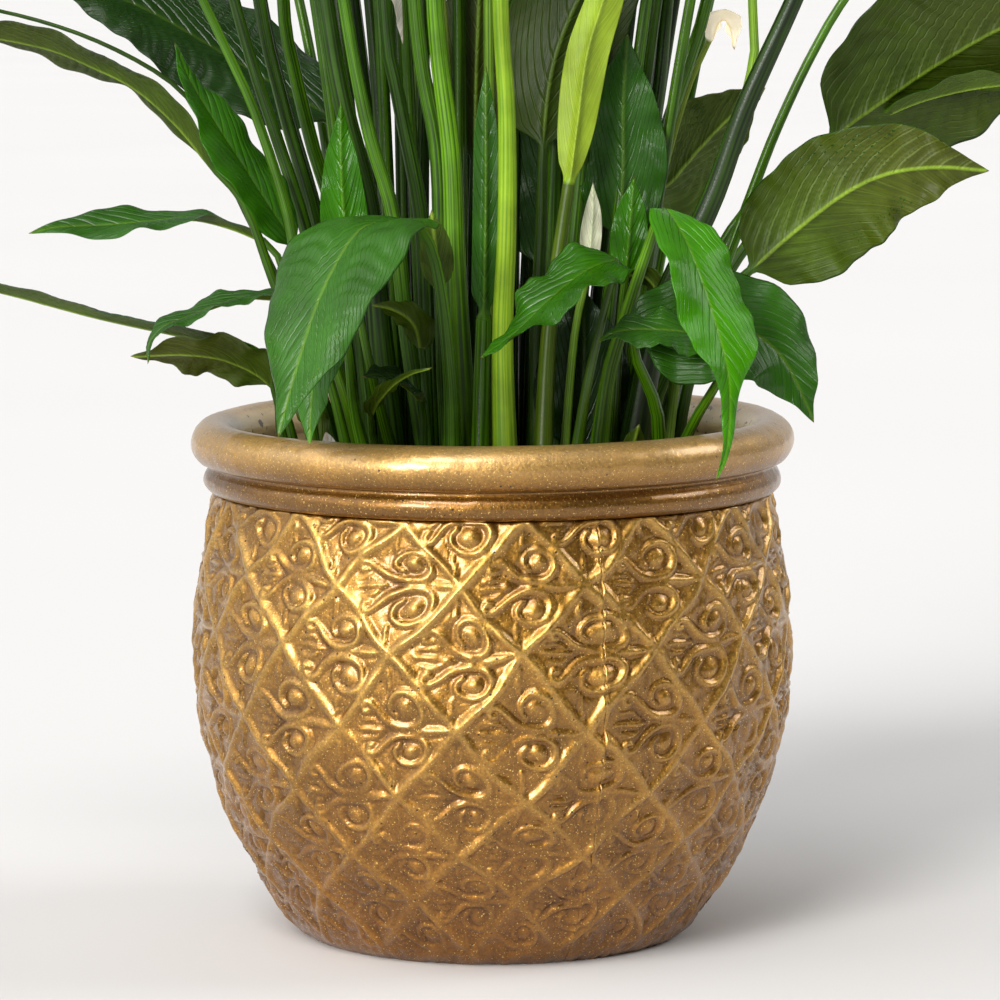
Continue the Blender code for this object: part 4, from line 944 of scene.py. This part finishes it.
def leaf_frame(leaf):
    """Centre, side and upper direction of each ring, the way to it, and both parts' lengths."""
    foot_x, foot_y = leaf["crown"]
    foot = (foot_x, foot_y, crown_height(foot_x, foot_y) + 0.4)
    curve = smooth_route([foot] + list(leaf["stem"]) + list(leaf["blade"]), STEPS_PER_SPAN)
    length = np.concatenate([[0], np.cumsum(np.linalg.norm(np.diff(curve, axis=0), axis=1))])
    start = length[(1 + len(leaf["stem"])) * STEPS_PER_SPAN]
    blade_length = length[-1] - start
    stops = np.concatenate([np.linspace(0, start, int(start / STALK_STEP) + 2)[:-1],
                            np.linspace(start, length[-1], int(blade_length / BLADE_STEP) + 2)])
    centre = np.stack([np.interp(stops, length, curve[:, axis]) for axis in range(3)], axis=1)
    slope = np.gradient(curve, length, axis=0)
    ahead = np.stack([np.interp(stops, length, slope[:, axis]) for axis in range(3)], axis=1)
    ahead /= np.linalg.norm(ahead, axis=1)[:, None]
    heading = math.radians(leaf["heading"])
    side = np.array([-math.sin(heading), math.cos(heading), 0.0])
    side = side - ahead * (ahead @ side)[:, None]
    side /= np.linalg.norm(side, axis=1)[:, None]
    upper = np.cross(ahead, side)
    share = np.clip((stops - start) / blade_length, 0, 1)
    roll = np.radians(leaf["roll"][0] + (leaf["roll"][1] - leaf["roll"][0]) * share)[:, None]
    return (centre, side * np.cos(roll) + upper * np.sin(roll),
            upper * np.cos(roll) - side * np.sin(roll), stops, start, blade_length)


def leaf_piece(leaf, seed):
    """One leaf: circle rings on the stalk that are pressed into a folded, quilted blade."""
    own = {**DEFAULTS, **leaf["own"]}
    rng = np.random.default_rng(seed)
    centre, side, upper, stops, start, blade_length = leaf_frame(leaf)
    share = np.clip((stops - start) / blade_length, 0, 1)[:, None]
    along = share * blade_length
    foot_radius, top_radius = leaf["stalk"]
    radius = foot_radius + (top_radius - foot_radius) * np.clip(stops / start, 0, 1)[:, None]
    radius = radius * own["thin_stalk"] * (1 + 0.25 * np.exp(-stops[:, None] / 30.0))
    fold = math.radians(leaf["fold"])
    strap = smoothstep(0, 0.12, share) * (1 - share ** 7)
    outline = blade_outline(share) * (1 - own["strap"]) + strap * own["strap"]
    width = leaf["width"] / 2 * own["broad"] * outline
    width = width * (1 - own["drip"] * smoothstep(0.72, 0.97, share))
    neck_start, neck_end, neck_amount = own["neck"]
    width = width * (1 - neck_amount * smoothstep(neck_start, neck_end, share)
                     * (1 - 0.6 * share ** 8))
    u = ACROSS[None, :]
    x = u * width
    reach = np.abs(x)
    shift = own["sweep"] * (reach + 2.6 * reach ** 2 / leaf["width"])
    vein_place = along - shift
    puff = np.abs(np.sin(math.pi * vein_place / VEIN_MM)) - 0.64
    quilt = own["quilt"] * puff * smoothstep(0, 0.12, share) * smoothstep(1, 0.75, np.abs(u))
    quilt = quilt * smoothstep(0.5, 4.0, reach)
    cycles, phase = rng.uniform(2.2, 3.8, 2), rng.uniform(0, TURN, 2)
    left = np.sin(TURN * share * cycles[0] + phase[0])
    right = np.sin(TURN * share * cycles[1] + phase[1])
    ripple = 0.35 * np.sin(TURN * share * cycles[1] * 2.7 + phase[0] + 2 * (u > 0))
    margin = own["wave"] * u ** 2 * (np.where(u > 0, left, right) + ripple)
    margin = margin * smoothstep(0, 0.2, share) * np.clip(width / 14, 0, 1)
    roof = width * (math.sin(fold) * (np.sqrt(u ** 2 + 0.004) - 0.063)
                    - own["arch"] * u ** 2 * np.abs(u))
    rib = (top_radius * 0.9 * (1 - share) + 0.35) * np.exp(-(x / (1.1 + 0.6 * (1 - share))) ** 2)
    below = np.clip(-ROUND[None, :], 0, 1)
    groove = 0.45 * np.exp(-(x / 0.9) ** 2) * np.clip(ROUND[None, :], 0, 1)
    blade_h = roof + margin + quilt + SKIN * ROUND[None, :] - rib * below - groove
    pressed = smoothstep(0.0, 0.07, share)
    channel = 1 - 0.22 * np.exp(-((u / 0.45) ** 2)) * (ROUND[None, :] > 0)
    place_x = (1 - pressed) * radius * u + pressed * x * math.cos(fold)
    place_h = (1 - pressed) * radius * ROUND[None, :] * channel + pressed * blade_h
    points = (centre[:, None, :] + side[:, None, :] * place_x[..., None]
              + upper[:, None, :] * place_h[..., None])
    rings, around = x.shape
    points = np.vstack([points[:-1].reshape(-1, 3), centre[:1], centre[-1:]])
    angle = np.arctan2(ROUND, ACROSS)[None, :] / TURN * 0.03
    uv_x = np.where(share > 0, x / MAP_MM, angle)
    uv_y = np.where(share > 0, vein_place, stops[:, None] - start + 0 * x) / MAP_MM
    uv = np.stack([uv_x[:-1].ravel(), uv_y[:-1].ravel()], axis=1)
    uv = np.vstack([uv, [[0.0, -start / MAP_MM], [0.0, blade_length / MAP_MM]]])

    def field(values, at_foot, at_tip):
        """A value for each point of the rings, then for the foot's and the tip's middle."""
        return np.append((values + 0 * x)[:-1].ravel(), [at_foot, at_tip])

    tone = own["tone"] * rng.uniform(0.9, 1.1)
    # Painted shade: each leaf is darker over the first 130 mm of its stalk, low in the clump.
    tone_here = tone * (0.72 + 0.28 * smoothstep(20, 130, stops[:, None]))
    tone_here = tone_here * np.where(share > 0, 1.0, own["stalk_tone"])
    faces_up = (ROUND[None, :] < 0.05) if own["flip"] else (ROUND[None, :] > -0.05)
    fields = {"upper": field(faces_up * 1.0, 1, 1),
              "blade": field(smoothstep(0.0, 0.05, share), 0, 1),
              "tone": field(tone_here, tone * 0.72, tone),
              "aged": field(own["aged"] * smoothstep(0.1, 0.8, share), 0, own["aged"]),
              "dry": field(smoothstep(0.985, 1.0, share), 0, 1)}
    stands_for = [leaf["name"]] if leaf["name"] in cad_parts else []
    finish = LEAF_FINISHES[own["finish"] or leaf["surface"]]
    return add_piece(leaf["name"] + "_grown", points, tube_faces(rings - 1, around), finish,
                     stands_for, fields, uv)


# %% Grow the leaves and the spathes
grown = [leaf_piece(leaf, 100 + order) for order, leaf in enumerate(LEAVES + FLOWERS)]
print("leaf and spathe points:", sum(len(piece.data.vertices) for piece in grown))

# %% [markdown]
# ## Young leaves in the heart of the clump
# A peace lily keeps pushing up new leaves between the old ones, so that hardly any light comes
# through the middle. These stand among the CAD's stalks: upright stalks whose small blades end
# in the canopy, a few short leaves low down, and two dry sheaths of old leaves.

# %% Fill the heart of the clump
# Each stalk: where it leaves the crown, where it passes the mark's height, its foot's radius
# and its tone.
MARK_HEIGHT = 471
HEART_STALKS = [((-36, 8), (-34, 20), 3.6, 0.7), ((-27, 20), (-27, 30), 4.0, 0.6),
                ((-16, 2), (-17, 12), 4.4, 0.75), ((-8, 14), (-8, 24), 4.0, 0.55),
                ((8, 2), (12, 12), 4.2, 0.7), ((14, 16), (24, 26), 4.0, 0.55),
                ((22, 4), (38, 14), 4.2, 0.65), ((30, 14), (50, 24), 4.0, 0.6),
                ((36, -6), (60, 4), 4.2, 0.8), ((44, 4), (70, 14), 3.8, 0.65),
                ((52, -10), (82, -2), 4.2, 0.75), ((58, 18), (92, 28), 3.6, 0.6),
                ((-46, 24), (-62, 34), 3.8, 0.6), ((-54, 10), (-78, 24), 3.4, 0.65),
                ((-41, 16), (-48, 22), 4.4, 0.7), ((-32, -6), (-44, 4), 3.4, 0.85),
                ((-44, 30), (-70, 38), 4.2, 0.6), ((-12, 26), (-13, 34), 3.8, 0.55),
                ((-47, 12), (-57, 18), 3.8, 0.8), ((-58, -16), (-88, -8), 3.6, 0.85),
                ((62, -16), (98, -18), 3.6, 0.85),
                ((48, -30), (76, -22), 3.6, 0.9), ((30, -30), (52, -22), 3.8, 0.85)]


def heart_leaf(order, foot, high, radius, tone):
    """A slender leaf that rises from its foot, past the mark's height, into the canopy."""
    middle = ((foot[0] * 2 + high[0]) / 3, (foot[1] * 2 + high[1]) / 3, 321)
    rise = (order * 53) % 130
    above = (high[0] * (1.1 + rise / 500), high[1] + 4, 515 + rise)
    heading = math.degrees(math.atan2(high[1], high[0])) + (order * 37) % 50 - 25
    return leaf_row(f"leaf_heart_{order:02d}", "mid_leaf" if tone > 0.7 else "dark_leaf", foot,
                    [middle, (*high, MARK_HEIGHT)],
                    arch(above, heading, (6 + order % 4 * 5, 70), 115 + order % 5 * 14), width=44,
                    heading=heading, stalk=(radius, 2.2), tone=tone, thin_stalk=1.1)


LOW_LEAVES = [
    leaf_row("leaf_low_left_pointing", "mid_leaf", (84, -40), [(98, -66, 262), (110, -80, 286)],
             [(106, -86, 300), (94, -91, 307), (76, -94, 309), (60, -95, 308), (50, -95, 303)],
             width=34, heading=180, stalk=(3.0, 2.0), roll=(-30, -30), fold=8, tone=1.3, wave=2.5,
             quilt=0.5),
    leaf_row("leaf_low_olive_hood", "mid_leaf", (-22, -60), [(-25, -72, 290)], [(-26, -80, 328),
             (-27, -84, 346), (-29, -88, 366)], width=17, heading=270, stalk=(2.6, 1.8), fold=14,
             tone=0.9),
    leaf_row("leaf_low_right_small", "bright_leaf", (58, -40), [(62, -44, 300)], [(65, -45, 332),
             (67, -46, 355), (69, -46, 380)], width=19, heading=270, stalk=(2.6, 1.8), fold=12,
             tone=0.62, flip=True),
    leaf_row("leaf_low_right_olive", "mid_leaf", (70, -34), [(79, -34, 290)], [(83, -34, 317),
             (76, -34, 330), (64, -34, 331)], width=17, heading=180, stalk=(2.4, 1.6),
             roll=(40, 40), fold=12, tone=0.8),
    leaf_row("leaf_heart_dark_blade", "dark_leaf", (20, -4), [(22, 2, 300)], [(24, 4, 332),
             (26, 6, 370), (28, 8, 410), (31, 10, 446)], width=40, heading=270, stalk=(3.6, 2.2),
             fold=8, tone=0.95, flip=True),
    leaf_row("leaf_heart_left_blade", "dark_leaf", (-12, 10), [(-10, 14, 340)], [(-9, 16, 385),
             (-8, 18, 430), (-6, 20, 480), (-4, 22, 520)], width=38, heading=270, stalk=(3.6, 2.2),
             fold=8, tone=0.9),
    leaf_row("sheath_left", "faded_spathe", (-70, -56), [(-74, -60, 230)], [(-77, -62, 237),
             (-79, -63, 247), (-81, -62, 257)], width=9, heading=250, stalk=(1.6, 1.2), fold=20,
             tone=0.5, strap=0.8),
    leaf_row("sheath_middle", "faded_spathe", (-52, -64), [(-53, -67, 228)], [(-54, -69, 234),
             (-55, -70, 243), (-56, -69, 252)], width=8, heading=270, stalk=(1.5, 1.2), fold=20,
             tone=0.45, strap=0.8),
    leaf_row("leaf_right_behind", "mid_leaf", (86, 40), [(112, 44, 334), (160, 48, 388)],
             [(196, 50, 406), (222, 51, 416), (256, 52, 422), (294, 53, 422), (326, 54, 415)],
             width=38, heading=5, stalk=(3.0, 1.8), roll=(-20, -20), tone=1.3),
]
heart = [heart_leaf(order, *row) for order, row in enumerate(HEART_STALKS)]
young = [leaf_piece(leaf, 300 + order) for order, leaf in enumerate(heart + LOW_LEAVES)]
print("young leaves:", len(young))

# %% [markdown]
# ## The spadix
# A spadix is a blunt rod packed with tiny round flowers. Its radius is the CAD's, and two
# crossing sine waves raise the flowers in a lozenge pattern, one for each 2 mm.

# %% Make each spadix
# The florets get the same painted shade in the gaps between them.
SPADIX = crumbly("spadix_florets", "#8F8A4A", "#EDE5B8", 1.6)
SPADIX_LIFT, SPADIX_FORWARD = 8.0, 9.0
SPADIX_STATIONS = [(0.0, 2.4), (0.12, 4.2), (0.5, 4.6), (0.85, 3.8), (1.0, 1.8)]


def spadix_piece(flower):
    """A rod whose radius runs through the stations, with florets raised by crossing sines."""
    centre, side, upper, stops, start, _ = leaf_frame(flower)
    first = int(np.argmax(stops >= start - 0.001))
    ahead = np.cross(side[first], upper[first])
    foot = centre[first] + ahead * SPADIX_LIFT + upper[first] * SPADIX_FORWARD
    rings, around = 64, 48
    share = np.linspace(0, 1, rings)[:, None]
    turn = np.linspace(0, TURN, around, endpoint=False)[None, :]
    radius = np.interp(share, *zip(*SPADIX_STATIONS)) * np.sqrt(1 - 0.75 * share ** 10)
    rows = share * flower["spadix"] * 1.6
    floret = np.sin(6 * turn + rows) * np.sin(6 * turn - rows)
    radius = radius + 0.3 * floret
    points = (foot + ahead * (flower["spadix"] * share)[..., None]
              + side[first] * (radius * np.cos(turn))[..., None]
              + upper[first] * (radius * np.sin(turn))[..., None]).reshape(-1, 3)
    points = np.vstack([points, [foot, foot + ahead * (flower["spadix"] + 0.8)]])
    return add_piece(flower["name"] + "_spadix_florets", points, tube_faces(rings, around), SPADIX,
                     [flower["name"] + "_spadix"])


for flower in FLOWERS:
    if flower["spadix"]:
        print(spadix_piece(flower).name)

# %% [markdown]
# ## Floor, light and camera
# The floor is plain and pale. Two soft suns shine from the left of the front, one high and one
# low, as from a studio's soft boxes, and a weaker one from the right. A pale sky, brightest at
# the upper left, fills the shadows.

# %% The floor
FLOOR_REACH = 90


def pale_floor():
    """A plain matt floor, wide enough to reach the horizon."""
    material, tree, surface = new_material("pale_floor")
    place = add_node(tree, "ShaderNodeTexCoord").outputs["Object"]
    cloud = add_node(tree, "ShaderNodeTexNoise", {"Scale": 0.8, "Vector": place})
    colour = add_node(tree, "ShaderNodeValToRGB", {"stops": [(0.3, "#D0CFCE"), (0.7, "#D2D1D0")],
                                                   "Fac": cloud.outputs["Fac"]})
    shader = add_node(tree, "ShaderNodeBsdfPrincipled",
                      {"Roughness": 0.9, "Specular IOR Level": 0.1,
                       "Base Color": colour.outputs["Color"]})
    tree.links.new(shader.outputs[0], surface)
    mesh = bpy.data.meshes.new("floor")
    corners = [(side * FLOOR_REACH, depth * FLOOR_REACH, 0)
               for side, depth in ((-1, -1), (1, -1), (1, 1), (-1, 1))]
    mesh.from_pydata(corners, [], [(0, 1, 2, 3)])
    mesh.materials.append(material)
    floor = bpy.data.objects.new("floor", mesh)
    bpy.context.scene.collection.objects.link(floor)
    return floor


print(pale_floor().name)

# %% The sky
world = bpy.data.worlds.new("studio")
world.use_nodes = True
bpy.context.scene.world = world
sky = world.node_tree
sky.nodes.clear()
SOFT_BOX = (-0.60, -0.35, 0.72)
PALE_WALLS = (-0.52, 0.78, 0.35)
ray = add_node(sky, "ShaderNodeTexCoord").outputs["Generated"]
box_light, wall_light = (
    add_node(sky, "ShaderNodeMapRange",
             {"interpolation_type": "SMOOTHSTEP", "From Min": low, "From Max": high,
              "To Min": dim, "To Max": bright,
              "Value": add_node(sky, "ShaderNodeVectorMath",
                                {"operation": "DOT_PRODUCT", 0: ray,
                                 1: way}).outputs["Value"]}).outputs["Result"]
    for way, low, high, dim, bright in ((SOFT_BOX, 0.5, 0.95, 0.0, 1.25),
                                        (PALE_WALLS, -0.6, 0.6, 0.1, 0.62)))
sky_light = add_node(sky, "ShaderNodeMath", {"operation": "ADD", 0: box_light, 1: wall_light})
backdrop = add_node(sky, "ShaderNodeBackground", {"Color": "#FAFAFB",
                                                  "Strength": sky_light.outputs[0]})
sky_output = add_node(sky, "ShaderNodeOutputWorld", {"Surface": backdrop.outputs[0]})
print("sky nodes:", len(sky.nodes))


# %% The soft lamps
def sun(name, azimuth, elevation, strength, angle, colour):
    """A distant soft light. Azimuth is degrees from the front towards the right."""
    lamp = bpy.data.lights.new(name, "SUN")
    lamp.energy = strength
    lamp.angle = math.radians(angle)
    lamp.color = linear(colour)[:3]
    thing = bpy.data.objects.new(name, lamp)
    thing.rotation_euler = (math.radians(90 - elevation), 0, math.radians(azimuth))
    bpy.context.scene.collection.objects.link(thing)


sun("key_light", -24, 52, 1.15, 20, "#FFFDFA")
sun("front_light", -30, 18, 2.35, 22, "#FFFDFB")
sun("side_light", 98, 36, 0.9, 26, "#FFFDFA")

# %% The camera
EYE = (0.00375, -2.35, 0.491)
AIM_HEIGHT = 0.216
camera_data = bpy.data.cameras.new("camera")
camera_data.lens = 170.35
camera_data.sensor_width = 36.0
camera_data.clip_end = 400
camera = bpy.data.objects.new("camera", camera_data)
camera.location = EYE
camera.rotation_euler = (math.pi / 2 - math.atan((EYE[2] - AIM_HEIGHT) / -EYE[1]), 0, 0)
bpy.context.scene.collection.objects.link(camera)
bpy.context.scene.camera = camera
print("camera at", EYE)
